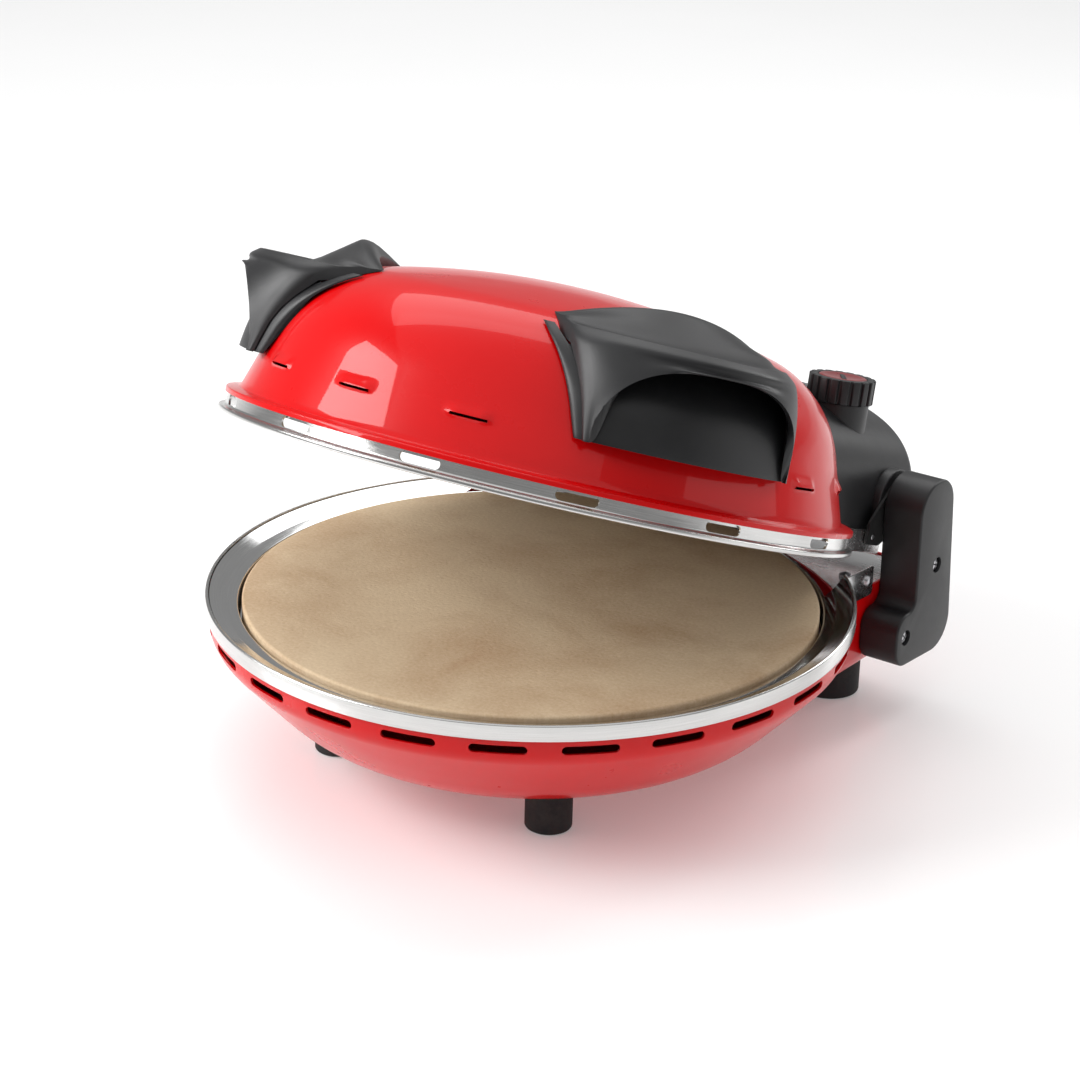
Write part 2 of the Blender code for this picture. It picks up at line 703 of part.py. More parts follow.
def make_hinge_plates():
    """Lid ears beside the arms, bored for the pins."""
    corners = [(0.1500, 0.0920, 0.003), (0.1660, 0.0920, 0.010), (0.1890, 0.1075, 0.010),
               (0.1890, 0.1285, 0.010), (0.1680, 0.1285, 0.010), (0.1500, 0.1040, 0.003)]
    for side, sign in SIDES:
        middle = sign * (HINGE_PLATE_X + HINGE_PLATE_THICKNESS / 2)
        plate = flat_piece("hinge_plate_" + side, rounded(corners), HINGE_PLATE_THICKNESS,
                           side_plane(middle))
        lid.piece(plate, BLACK_STEEL)
        bore = rods("plate_bore_" + side, [((sign * 0.11, HINGE_Y, HINGE_Z),
                                            (sign * 0.13, HINGE_Y, HINGE_Z),
                                            PIN_RADIUS + PIN_CLEARANCE)], 16)
        boolean(plate, lid.cutter(bore))
        y, z = PLATE_SCREW
        hole = rods("plate_hole_" + side, [((sign * 0.11, y, z), (sign * 0.13, y, z), 0.0019)], 12)
        boolean(plate, lid.cutter(hole))
        boolean(bpy.data.objects["lid_neck"], hole)
        screw = turned("hinge_plate_screw_" + side,
                       [(0, 0.0002), (0.0013, 0.0002), (0.0016, -0.0001), (0.0016, -0.0050),
                        (0, -0.0050)], segments=12)
        screw.rotation_euler = (0, sign * math.pi / 2, 0)
        screw.location = (sign * (HINGE_PLATE_X + HINGE_PLATE_THICKNESS), y, z)
        lid.piece(screw, SCREW)


# ---------------------------------------------------------------- lid
def dome_points():
    """Joints of the dome's profile: crown centre, shoulder centre and wall top."""
    crown = (0.0, DOME_HEIGHT - CROWN_RADIUS)
    tilt = math.asin(CROWN_EDGE / CROWN_RADIUS)
    meet = (CROWN_EDGE, crown[1] + CROWN_RADIUS * math.cos(tilt))
    shoulder = (meet[0] - SHOULDER_RADIUS * math.sin(tilt),
                meet[1] - SHOULDER_RADIUS * math.cos(tilt))
    wall_top = (shoulder[0] + SHOULDER_RADIUS * math.cos(WALL_LEAN),
                shoulder[1] + SHOULDER_RADIUS * math.sin(WALL_LEAN))
    return crown, tilt, meet, shoulder, wall_top


def dome_radius(height):
    """Outside radius of the dome at a height above the ring's bottom."""
    crown, _, meet, shoulder, wall_top = dome_points()
    if height < wall_top[1]:
        return wall_top[0] + (wall_top[1] - height) * math.tan(WALL_LEAN)
    if height < meet[1]:
        return shoulder[0] + math.sqrt(SHOULDER_RADIUS ** 2 - (height - shoulder[1]) ** 2)
    return math.sqrt(max(CROWN_RADIUS ** 2 - (height - crown[1]) ** 2, 0.0))


def dome_profile():
    crown, tilt, _, shoulder, _ = dome_points()
    upright = math.pi / 2
    top = arc(crown, CROWN_RADIUS, upright, upright - tilt, 2)
    bend = arc(shoulder, SHOULDER_RADIUS, upright - tilt, WALL_LEAN, 5)
    foot = (dome_radius(WALL_FOOT_HEIGHT), WALL_FOOT_HEIGHT)
    flange = [(foot[0] + 0.0022, 0.0142), (FLANGE_RADIUS, 0.0126), (FLANGE_RADIUS, 0.0100)]
    points = [(0.0, DOME_HEIGHT)] + top[1:] + bend[1:] + [foot] + flange
    return [(radius, LID_Z + height) for radius, height in points]


def make_dome():
    dome = turned("lid_dome", dome_profile(), closed=False, thickness=DOME_WALL)
    lid.piece(dome, RED_PAINT)
    behind = box("dome_rear_cut", (-0.19, DOME_CUT_Y, LID_Z + DOME_CUT_HEIGHT),
                 (0.19, 0.20, LID_Z + 0.12))
    boolean(dome, lid.cutter(behind))
    bm = bmesh.new()
    for place in VENT_PLACES:
        verts = add_box(bm, (-VENT_SIZE[0] / 2, -0.175, LID_Z + VENT_HEIGHT - VENT_SIZE[1] / 2),
                        (VENT_SIZE[0] / 2, -0.140, LID_Z + VENT_HEIGHT + VENT_SIZE[1] / 2))
        turn = Matrix.Rotation(VENT_PHASE + VENT_PITCH * place, 4, "Z")
        bmesh.ops.transform(bm, matrix=turn, verts=verts)
    boolean(dome, lid.cutter(mesh_object("vent_cuts", bm)))
    boolean(dome, lid.cutter(rods("dome_screw_holes", handle_holes(0.0024, -0.012, 0.004), 12)))


def make_lid_ring():
    inner, outer = RING_WALL_RADIUS - RING_WALL, RING_WALL_RADIUS
    profile = [(inner, LID_Z + RING_HEIGHT), (outer, LID_Z + RING_HEIGHT),
               (outer, LID_Z + 0.0036), (RING_BEAD_RADIUS - 0.0006, LID_Z + 0.0026),
               (RING_BEAD_RADIUS, LID_Z + 0.0013), (RING_BEAD_RADIUS - 0.0008, LID_Z),
               (inner, LID_Z)]
    ring = lid.piece(turned("lid_rim_ring", profile), BRUSHED)
    angles = [OVAL_PHASE + OVAL_PITCH * (i + 0.5) for i in range(-5, 5)]
    ovals = capsule_row("ring_ovals", angles, RING_WALL_RADIUS, LID_Z + OVAL_Z, OVAL_LENGTH,
                        OVAL_HEIGHT, 0.012)
    boolean(ring, lid.cutter(ovals))


def make_reflector():
    profile = [(0.0, LID_Z + 0.0364), (0.140, LID_Z + 0.0364), (0.1462, LID_Z + 0.0324),
               (0.1525, LID_Z + 0.0094), (0.1676, LID_Z + 0.0094)]
    cap = turned("upper_reflector", profile, closed=False, thickness=PAN_THICKNESS)
    lid.piece(cap, STEEL)
    window = box("reflector_window", (-0.022, 0.130, LID_Z + 0.0160), (0.022, 0.17, LID_Z + 0.0270))
    boolean(cap, lid.cutter(window))
    hole = rods("probe_hole", [((PROBE[0], PROBE[1], LID_Z + 0.02), (PROBE[0], PROBE[1], LID_Z + 0.05),
                                0.0029)])
    boolean(cap, lid.cutter(hole))


def make_upper_heating():
    height = LID_Z + UPPER_ELEMENT_HEIGHT
    path = element_path(UPPER_ELEMENT_RING, height, 0.168)
    lid.piece(tube("upper_element", path, ELEMENT_RADIUS, 1), ELEMENT)
    make_clips(lid, "upper_element_clip", UPPER_ELEMENT_RING, height,
               LID_Z + 0.0142, LID_Z + 0.0351)


def make_neck():
    """Bright box between the ring and the hinge, open below."""
    low, high = 0.087, LID_Z + HOUSING_BOTTOM - GAP
    outer, sheet = 0.123, 0.0012
    neck = box("lid_neck", (-outer, 0.100, low), (outer, 0.172, high))
    lid.piece(neck, STEEL)
    boolean(neck, lid.cutter(box("neck_tail", (-0.112, 0.160, high - sheet), (0.112, 0.206, high))),
            "UNION")
    boolean(neck, lid.cutter(box("neck_inside", (-outer + sheet, 0.090, low - 0.01),
                                 (outer - sheet, 0.172 - sheet, high - sheet))))
    boolean(neck, lid.cutter(box("neck_back_trim", (-outer + sheet, 0.150, low - 0.01),
                                 (outer - sheet, 0.180, 0.0935))))
    boolean(neck, lid.cutter(rods("neck_round", [((0, 0, 0.07), (0, 0, 0.12), 0.1738)], SEGMENTS)))


# ---------------------------------------------------------------- rear housing and knob
def arch_ring(y, scale, shrink, bottom):
    """Arch outline on the plane at Y = y: a superellipse standing on a straight sill."""
    half = HOUSING_HALF_WIDTH * scale - shrink
    rise = HOUSING_RISE * scale - shrink
    power = 2.0 / HOUSING_POWER
    ring = []
    steps = 20
    foot = LID_Z + HOUSING_BOTTOM
    for i in range(steps + 1):
        angle = math.pi * i / steps
        u = math.copysign(abs(math.cos(angle)) ** power, math.cos(angle))
        ring.append((half * u, y, foot + rise * math.sin(angle) ** power if 0 < i < steps else foot))
    if bottom:
        ring.append((-half, y, foot - bottom))
        ring.append((half, y, foot - bottom))
    return ring


def housing_rings(front, shrink, bottom):
    """Straight run, then a quarter-round over the rear edge."""
    rings = [arch_ring(front, 1.0, shrink, bottom)]
    steps = 4
    rounding = HOUSING_ROUNDING
    start = HOUSING_REAR_Y - rounding
    for i in range(steps + 1):
        angle = math.radians(75) * i / steps
        y = start + (rounding - shrink) * math.sin(angle) / math.sin(math.radians(75))
        inward = rounding * (1 - math.cos(angle)) / HOUSING_HALF_WIDTH
        rings.append(arch_ring(y, 1.0 - inward, shrink, bottom))
    return rings


def make_housing():
    housing = loft("rear_housing", housing_rings(HOUSING_FRONT_Y, 0.0, 0.0))
    lid.piece(housing, BLACK)
    hollow = loft("housing_hollow", housing_rings(HOUSING_FRONT_Y - 0.02, HOUSING_WALL, 0.006))
    boolean(housing, lid.cutter(hollow))
    boss = rods("knob_boss", [((KNOB_X, KNOB_Y, 0.1412),
                               (KNOB_X, KNOB_Y, KNOB_CENTRE.z - 0.0004), BOSS_RADIUS)], 32)
    boolean(housing, dial.cutter(boss), "UNION")
    seat = rods("knob_seat", [((KNOB_X, KNOB_Y, KNOB_CENTRE.z - 0.0004),
                               (KNOB_X, KNOB_Y, 0.20), KNOB_RADIUS + 0.0015)], 32)
    boolean(housing, dial.cutter(seat))
    bore = rods("shaft_hole", [((KNOB_X, KNOB_Y, 0.12), (KNOB_X, KNOB_Y, 0.18),
                                SHAFT_RADIUS + 0.0004)])
    boolean(housing, dial.cutter(bore))
    flange = turned("flange_notch", [(0.1622, LID_Z + 0.0156), (0.1716, LID_Z + 0.0156),
                                     (0.1716, LID_Z + 0.005), (0.1622, LID_Z + 0.005)])
    boolean(housing, lid.cutter(flange))
    holes = [((LAMP[0], LAMP[1], 0.15), (LAMP[0], LAMP[1], 0.18), 0.0043)]
    hubs = [((sign * (HOUSING_HALF_WIDTH - HOUSING_WALL), HINGE_Y, HINGE_Z),
             (sign * (HINGE_PLATE_X - GAP), HINGE_Y, HINGE_Z), HUB_RADIUS) for _, sign in SIDES]
    boolean(housing, lid.cutter(rods("pivot_hubs", hubs, 36)), "UNION")
    for _, sign in SIDES:
        holes.append(((sign * 0.110, HINGE_Y, HINGE_Z), (sign * 0.13, HINGE_Y, HINGE_Z), 0.0046))
    boolean(housing, lid.cutter(rods("housing_holes", holes)))


def make_controls():
    lid.piece(box("thermostat_body", (0.070, 0.138, 0.1096), (0.102, 0.166, 0.1368)), CERAMIC)
    probe = turned("thermostat_probe", [(0, 0.148), (0.0045, 0.148), (0.0045, 0.1435),
                                        (0.0025, 0.1435), (0.0025, 0.116), (0, 0.116)],
                   segments=20)
    probe.location = (PROBE[0], PROBE[1], 0)
    lid.piece(probe, STEEL)
    lens = turned("pilot_lamp_lens", [(0, 0.1705), (0.0025, 0.1700), (0.0040, 0.1685),
                                      (0.0040, 0.1560), (0, 0.1560)], segments=20)
    lens.location = (LAMP[0], LAMP[1], 0)
    lid.piece(lens, LENS)


def make_knob():
    bottom = KNOB_CENTRE.z
    top = bottom + KNOB_HEIGHT
    outline = []
    for i in range(KNOB_FLUTES):
        start = math.tau * i / KNOB_FLUTES
        pitch = math.tau / KNOB_FLUTES
        for part, radius in ((0.0, KNOB_RADIUS), (0.62, KNOB_RADIUS), (0.68, KNOB_RADIUS - 0.0016),
                             (0.94, KNOB_RADIUS - 0.0016)):
            angle = start + pitch * part
            outline.append((KNOB_X + radius * math.cos(angle), KNOB_Y + radius * math.sin(angle)))
    knob = flat_piece("thermostat_knob", outline, KNOB_HEIGHT,
                      Matrix.Translation((0, 0, (bottom + top) / 2)))
    dial.piece(knob, BLACK)
    holes = [((KNOB_X, KNOB_Y, bottom - 0.01), (KNOB_X, KNOB_Y, bottom + 0.009),
              SHAFT_RADIUS + GAP),
             ((KNOB_X, KNOB_Y, top - 0.0016), (KNOB_X, KNOB_Y, top + 0.01), 0.0140)]
    boolean(knob, dial.cutter(rods("knob_holes", holes, 36)))
    disc = turned("knob_disc", [(0, top + 0.0002), (0.0130, top + 0.0002),
                                (0.0137, top - 0.0005), (0.0137, top - 0.0013),
                                (0, top - 0.0013)], segments=36)
    disc.location = (KNOB_X, KNOB_Y, 0)
    dial.piece(disc, DARK_RED)
    shaft = turned("knob_shaft", [(0, bottom + 0.0087), (SHAFT_RADIUS, bottom + 0.0087),
                                  (SHAFT_RADIUS, 0.1380), (0, 0.1380)], segments=20)
    shaft.location = (KNOB_X, KNOB_Y, 0)
    dial.piece(shaft, SCREW)


# ---------------------------------------------------------------- handles
def handle_frame(sign):
    """Outward and sideways unit vectors of a handle."""
    angle = sign * HANDLE_ANGLE
    out = Vector((math.sin(angle), -math.cos(angle), 0.0))
    along = Vector((math.cos(angle), math.sin(angle), 0.0)) * sign
    return out, along


def on_dome(height, t, away=0.0):
    """Distance from the axis to the dome, on the plane at t along the handle."""
    return math.sqrt(max(dome_radius(height) ** 2 - t * t, 0.0)) + away


def reach_at(height, reaches):
    """Half length of a handle piece at a height: longest at the lip, shorter above it."""
    if height <= LIP_Z:
        share = (height - HANDLE_BOTTOM) / (LIP_Z - HANDLE_BOTTOM)
        return reaches[0] + (reaches[1] - reaches[0]) * share
    share = min((height - LIP_Z) / 0.010, 1.0)
    return reaches[1] + (reaches[-1] - reaches[1]) * share


def base_skin(height, t):
    """Outside of the mounting plate: thin at its ends, full in the middle."""
    span = (height - HANDLE_BOTTOM) / (HANDLE_BASE_TOP - HANDLE_BOTTOM)
    swell = 0.0028 * math.sin(math.pi * min(max(span, 0.0), 1.0))
    end = min(abs(t) / reach_at(height, BASE_REACH), 1.0)
    fullness = math.sqrt(1.0 - end * end)
    return on_dome(height, t, PLATE_EDGE + (PLATE_FULL - PLATE_EDGE + swell) * fullness)


def place_section(points, sign):
    out, along = handle_frame(sign)
    return [out * rho + along * t + Vector((0, 0, LID_Z + height)) for rho, t, height in points]


def base_heights(steps=5, ear=0.0):
    rise = HANDLE_BASE_TOP + ear - HANDLE_BOTTOM
    return [HANDLE_BOTTOM + rise * i / steps for i in range(steps + 1)]


def base_section(s):
    share = min(max((abs(s) - EAR_START) / (EAR_FULL - EAR_START), 0.0), 1.0)
    rows = [(h, s * reach_at(min(h, LIP_Z), BASE_REACH)) for h in base_heights(9, EAR_RISE * share)]
    away = HANDLE_CLEAR + EAR_CLEAR * share
    inner = [(on_dome(h, t, away), t, h) for h, t in rows]
    outer = [(base_skin(h, t), t, h) for h, t in reversed(rows)]
    return inner + outer


def arch_height(s):
    """Lower edge of the grip's front wall: an arch over the finger space."""
    share = min(abs(s) / ARCH_SPAN, 1.0)
    return HANDLE_BOTTOM + (ARCH_TOP - HANDLE_BOTTOM) * (1.0 - share ** 2.8) ** 0.5


def grip_section(s):
    """Hook-shaped section of the grip; it thickens to full cheeks at the ends."""
    plan = math.sqrt(max(1.0 - s * s, 0.0))
    bow = 1.0 - s * s
    cheek = min(max((abs(s) - 0.78) / 0.17, 0.0), 1.0)

    def side(height):
        return s * reach_at(height, GRIP_REACH)

    def wall(height, fullness):
        level = min(height, HANDLE_BASE_TOP)
        rho = base_skin(level, side(level)) + GRIP_CLEAR + 0.0020 + fullness * plan
        return (rho, side(height), height)

    def lip(height, end_height, full, end):
        level = end_height + (height - end_height) * plan
        return (on_dome(level, side(level), end + (full - end) * plan), side(level), level)

    def crest(rho, height, end_rho, end_height, share):
        level = end_height + (height - end_height) * share
        return (end_rho + (rho - end_rho) * share, side(level), level)

    def under(rho, height):
        """Underside of the lip, a share of the lip's own overhang."""
        overhang = (0.0165 + 0.0265 * plan) / 0.043
        return (on_dome(height, side(height), (rho - 0.132) * overhang), side(height), height)

    def shift(point, rho, height):
        return (point[0] + rho, side(height), height)

    low = arch_height(s)
    mid = low + (0.0785 - low) * 0.5
    outer = [wall(low, 0.002 + 0.60 * (low - HANDLE_BOTTOM)),
             wall(mid, 0.002 + 0.62 * (mid - HANDLE_BOTTOM)),
             lip(0.0790, 0.0790, 0.043, 0.0165), lip(0.0825, 0.0835, 0.0495, 0.0165),
             lip(0.0868, 0.0868, 0.0514, 0.0130),
             crest(0.1550, 0.0842, 0.1125, 0.0881, plan),
             crest(0.1420, 0.0860, 0.1095, 0.0888, plan),
             crest(0.1300, 0.0950, 0.1065, 0.0893, plan),
             crest(0.1210, 0.1022, 0.1040, 0.0896, bow),
             crest(0.1180, 0.1040, 0.1015, 0.0898, bow),
             crest(0.1120, 0.1028, 0.0990, 0.0901, bow),
             crest(0.1065, 0.0970, 0.0965, 0.0903, bow)]
    contact = [lip(h, end, GRIP_CLEAR, GRIP_CLEAR)
               for h, end in ((0.0912, 0.0886), (0.0885, 0.0865), (0.0850, 0.0840),
                              (0.0810, 0.0810))]
    skin = [(base_skin(h, side(h)) + GRIP_CLEAR, side(h), h) for h in reversed(base_heights())]
    skin[0] = shift(skin[0], 0.0, HANDLE_BASE_TOP + GRIP_CLEAR)
    hollow = [shift(skin[0], 0.0, 0.0796), under(0.1560, 0.0793), under(0.1630, 0.0790),
              under(0.1690, 0.0786), shift(outer[1], -0.0042, mid), shift(outer[0], -0.0040, low)]
    inner = [tuple(a + (b - a) * cheek for a, b in zip(one, two))
             for one, two in zip(hollow, skin)]
    return outer + contact + inner


def spread(count):
    """Stations from -1 to 1, closer together towards both ends."""
    return [math.sin(math.pi / 2 * (2 * i / count - 1)) for i in range(count + 1)]


def make_handles():
    for side, sign in SIDES:
        stations = sorted(spread(12) + [-EAR_START, EAR_START])
        plates = [place_section(base_section(t), sign) for t in stations]
        plate = lid.piece(loft("handle_base_" + side, plates), BLACK)
        boolean(plate, lid.cutter(rods("handle_holes_" + side,
                                       handle_holes(0.0022, -0.004, 0.0085), 12)))
        grips = [place_section(grip_section(t), sign) for t in spread(18)]
        lid.piece(loft("handle_grip_" + side, grips), BLACK)
        for place, t in zip(("front", "rear"), HANDLE_SCREWS):
            make_handle_screw(f"handle_screw_{side}_{place}", sign, t)


def handle_holes(radius, inner, outer):
    """Rods through the dome at the handles' screws, from inside to outside of its skin."""
    rows = []
    for _, sign in SIDES:
        out, along = handle_frame(sign)
        for t in HANDLE_SCREWS:
            skin = on_dome(HANDLE_SCREW_HEIGHT, t)
            foot = along * t + Vector((0, 0, LID_Z + HANDLE_SCREW_HEIGHT))
            rows.append((foot + out * (skin + inner), foot + out * (skin + outer), radius))
    return rows


def make_handle_screw(name, sign, t):
    out, along = handle_frame(sign)
    skin = on_dome(HANDLE_SCREW_HEIGHT, t)
    profile = [(0, 0.0135), (0.0019, 0.0135), (0.0019, 0.0024), (0.0038, 0.0024),
               (0.0038, 0.0008), (0.0028, 0.0), (0, 0.0)]
    screw = turned(name, profile, segments=16)
    foot = along * t + Vector((0, 0, LID_Z + HANDLE_SCREW_HEIGHT)) + out * (skin - 0.0062)
    screw.matrix_basis = Matrix.Translation(foot) @ out.to_track_quat("Z", "Y").to_matrix().to_4x4()
    lid.piece(screw, SCREW)


clear_scene()
parts = make_collection("pizza_oven")
cutters = make_collection("pizza_oven_cutters")

frame_empty = make_empty("oven_frame", (0.0, BOWL_CENTRE_Y, 0.0))
lid_empty = make_empty("lid_hinge_axis", HINGE, frame_empty)
lid_empty.rotation_euler = (-REST_OPENING, 0.0, 0.0)
knob_empty = make_empty("knob_axis", KNOB_CENTRE, lid_empty, HINGE)
knob_empty.rotation_euler = (KNOB_LEAN, 0.0, 0.0)

base = Carrier(frame_empty, Vector((0, 0, 0)))
lid = Carrier(lid_empty, HINGE)
dial = Carrier(knob_empty, KNOB_CENTRE)

make_lower_shell()
make_rim_ring()
make_pan()
make_lower_heating()
make_deck()
make_feet()
make_wiring()
make_arms()
make_stone()
make_dome()
make_lid_ring()
make_reflector()
make_upper_heating()
make_neck()
make_housing()
make_controls()
make_hinge_plates()
make_handles()
make_knob()
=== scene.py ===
"""Looks of the countertop pizza oven: smooth shells, moulded handles, screws and finishes.

Base pieces are drawn around the bowl's own axis, with Z = 0 on the worktop. Lid pieces
are drawn in their closed place and turned about the hinge into the frame's rest pose.
Lengths are in metres.
"""
import json
import math

import bmesh
import bpy
from mathutils import Matrix, Vector


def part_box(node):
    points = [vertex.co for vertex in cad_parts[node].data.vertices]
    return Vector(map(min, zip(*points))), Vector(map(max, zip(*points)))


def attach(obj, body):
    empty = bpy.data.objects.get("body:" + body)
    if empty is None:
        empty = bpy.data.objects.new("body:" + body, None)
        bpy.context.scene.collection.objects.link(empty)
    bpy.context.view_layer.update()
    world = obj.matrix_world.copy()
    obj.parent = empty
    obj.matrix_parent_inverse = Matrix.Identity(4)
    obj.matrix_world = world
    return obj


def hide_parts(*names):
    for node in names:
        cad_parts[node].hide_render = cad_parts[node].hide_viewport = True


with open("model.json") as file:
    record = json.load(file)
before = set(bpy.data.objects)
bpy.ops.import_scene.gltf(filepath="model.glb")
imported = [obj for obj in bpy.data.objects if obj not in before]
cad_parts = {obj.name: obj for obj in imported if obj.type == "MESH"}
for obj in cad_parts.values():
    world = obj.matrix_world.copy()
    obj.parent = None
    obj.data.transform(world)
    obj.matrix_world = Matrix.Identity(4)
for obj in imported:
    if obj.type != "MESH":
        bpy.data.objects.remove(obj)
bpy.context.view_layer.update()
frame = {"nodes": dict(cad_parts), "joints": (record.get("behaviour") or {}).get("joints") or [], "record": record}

# ---------------------------------------------------------------- places from the frame
JOINTS = {joint["name"]: joint for joint in frame["joints"]}
HINGE = Vector(JOINTS["lid_hinge"]["pos_m"])
OPENING = -math.radians(JOINTS["lid_hinge"]["range_deg"][0])

STONE_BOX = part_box("pizza_stone")
RIM_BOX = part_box("lower_rim_ring")
ARM_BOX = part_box("hinge_arm_right")
PAN_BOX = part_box("lower_pan")
SHELL_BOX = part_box("lower_shell")

BOWL_Y = (STONE_BOX[0].y + STONE_BOX[1].y) / 2
HINGE_Y = HINGE.y - BOWL_Y
HINGE_Z = HINGE.z
BASE_PLACE = Matrix.Translation((0.0, BOWL_Y, 0.0))
LID_PLACE = (Matrix.Translation(HINGE) @ Matrix.Rotation(-OPENING, 4, "X")
             @ Matrix.Translation((0.0, -HINGE_Y, -HINGE_Z)))
KNOB_LEAN = math.radians(9.0)      # towards the front
KNOB = LID_PLACE.inverted() @ Vector(JOINTS["knob_turn"]["pos_m"])
KNOB_TURN = (Matrix.Translation(KNOB) @ Matrix.Rotation(KNOB_LEAN, 4, "X")
             @ Matrix.Translation(-KNOB))
PLACES = {"base": BASE_PLACE, "stone": BASE_PLACE, "lid": LID_PLACE,
          "knob": LID_PLACE @ KNOB_TURN}
SIDES = (("right", 1), ("left", -1))

# ---------------------------------------------------------------- sizes
ROUND = 192                        # facets of the large round pieces
GAP = 0.0003

RIM_Z = RIM_BOX[1].z
RIM_BOTTOM_RADIUS = RIM_BOX[1].x
RIM_TOP_RADIUS = RIM_BOTTOM_RADIUS - 0.0010
RIM_INNER_RADIUS = RIM_BOTTOM_RADIUS - 0.0019
RIM_BAND_HEIGHT = RIM_Z - RIM_BOX[0].z
NECK_CUT_HALF_WIDTH = 0.1242

SHELL_WALL = 0.0015
SHELL_TOP_RADIUS = 0.1746
SHELL_BOTTOM_Z = SHELL_BOX[0].z
SHELL_FILLET = 0.016
SHELL_FILLET_Z = 0.0775
SHELL_BELLY_RADIUS = 0.066
SHELL_SLOPE = math.radians(43.0)
SLOT_SIZE = (0.029, 0.0048)
SLOT_Z = 0.0765
SLOT_PHASE = math.radians(1.3)
SLOT_PITCH = math.radians(15.0)
SLOT_REACH = 8                     # slots to each side of the middle one
BOX_HALF_WIDTH = 0.1252
BOX_FRONT_Y = 0.060
BOX_REAR_Y = 0.200
BOX_BOTTOM_Z = 0.026
BOX_TOP_Z = 0.075
BOX_CORNER = 0.020
BOX_EDGE = 0.009

TAB_FACE_X = BOX_HALF_WIDTH + 0.0008       # outside of the band's folded ends
TAB_SCREW = (0.1480, 0.0795)

PAN_THICKNESS = 0.001
STONE_RADIUS = STONE_BOX[1].x
ELEMENT_RADIUS = 0.0033
ELEMENT_LEAD_X = 0.014
UPPER_ELEMENT_RING = 0.112
UPPER_ELEMENT_HEIGHT = 0.0215

LID_Z = RIM_Z - 0.0018             # bottom of the lid's ring when closed
RING_WALL_RADIUS = 0.1694
RING_WALL = 0.0012
RING_BEAD_RADIUS = 0.173
RING_HEIGHT = 0.0110
OVAL_SIZE = (0.0215, 0.0055)
OVAL_Z = 0.0068
OVAL_PITCH = math.radians(26.5)
OVAL_PHASE = math.radians(1.0)

DOME_WALL = 0.0012
DOME_HEIGHT = 0.1048
CROWN_RADIUS = 0.429
CROWN_SHRINK = 0.9972              # keeps the smooth crown within the CAD height
CROWN_EDGE = 0.108
SHOULDER_RADIUS = 0.064
WALL_LEAN = math.radians(17.6)
WALL_FOOT_HEIGHT = 0.016
FLANGE_RADIUS = 0.171
DOME_CUT_Y = 0.108
DOME_CUT_HEIGHT = 0.0152
VENT_PHASE = math.radians(-4.0)
VENT_PITCH = math.radians(23.6)
VENT_PLACES = (-5, -4, -1, 0, 1, 4, 5)
VENT_HEIGHT = 0.0325
VENT_SIZE = (0.0195, 0.0014)
LOUVRE_RISE = 0.0019               # how far a vent's hood stands out of the dome
LOUVRE_HEIGHT = 0.0062

NECK_HALF_WIDTH = 0.123
NECK_SHEET = 0.0012
NECK_BOTTOM = 0.087
NECK_REAR_Y = 0.172
NECK_TAIL = (0.112, 0.206)         # half width and rear end of the neck's tail

HOUSING_HALF_WIDTH = 0.119
HUB_RADIUS = 0.0184                # round hubs of the housing at the pivots
HUB_OUTER_X = 0.1230
HOUSING_BOTTOM = 0.0104
HOUSING_RISE = 0.0715
HOUSING_POWER = 3.2
HOUSING_WALL = 0.0025
HOUSING_FRONT_Y = 0.1084
HOUSING_REAR_Y = 0.214
HOUSING_ROUNDING = 0.011

KNOB_X, KNOB_Y = 0.0875, 0.150
KNOB_RADIUS = 0.0188
KNOB_BOTTOM = LID_Z + 0.0772
KNOB_HEIGHT = 0.0136
KNOB_FLUTES = 18
BOSS_RADIUS = 0.017

HANDLE_ANGLE = math.radians(60.0)
HANDLE_BOTTOM = 0.0340
HANDLE_BASE_TOP = 0.0765
LIP_Z = 0.080
BASE_REACH = (0.0595, 0.068)
GRIP_REACH = (0.0575, 0.0625, 0.059)
PLATE_EDGE = 0.0035
PLATE_FULL = 0.0125
HANDLE_CLEAR = 0.0013              # plate to dome
EAR_START = 0.925                  # beyond the grip the plate stands up in an ear
EAR_FULL = 0.950
EAR_RISE = 0.0085
EAR_CLEAR = 0.0010
GRIP_CLEAR = 0.0012
GRIP_DROP = 0.0003                 # the grip hangs this much under its drawn place
CHEEK_START, CHEEK_BLEND = 0.78, 0.17
LIP_SHARE = 0.0165                 # overhang of the lip at the grip's ends
LIP_GROWTH = 0.0265                # and what the middle adds to it
TONGUE_Z = 0.0785
ARCH_SPAN = 0.965
ARCH_TOP = 0.0775

ARM_INNER_X, ARM_OUTER_X = ARM_BOX[0].x, ARM_BOX[1].x
ARM_SCREWS = (("upper", 0.1824, 0.0847), ("lower", 0.1520, 0.0500))
ARM_RECESS_X, ARM_RECESS_RADIUS = 0.1462, 0.0046
ARM_BOLT_X, ARM_BOLT_RADIUS = 0.1463, 0.0041
PIN_BORE_RADIUS = 0.0043
HUB_BORE_RADIUS = 0.0046
DECK_SCREW = (0.106, 0.157, 0.0743)
GLAND = (-0.060, 0.047)
GLAND_GROOVES = 10
LAMP = (0.060, 0.124)
NOISE_LOW, NOISE_HIGH = 0.3, 0.7   # the range that a noise mostly stays in


# ---------------------------------------------------------------- mesh helpers
def linked(name, data):
    obj = bpy.data.objects.new(name, data)
    bpy.context.scene.collection.objects.link(obj)
    return obj


def from_bmesh(name, bm):
    bmesh.ops.recalc_face_normals(bm, faces=bm.faces)
    mesh = bpy.data.meshes.new(name)
    bm.to_mesh(mesh)
    bm.free()
    return linked(name, mesh)


def bake(obj):
    """Replace an object's mesh by its evaluated one."""
    depsgraph = bpy.context.evaluated_depsgraph_get()
    mesh = bpy.data.meshes.new_from_object(obj.evaluated_get(depsgraph))
    obj.modifiers.clear()
    obj.data = mesh
    return obj


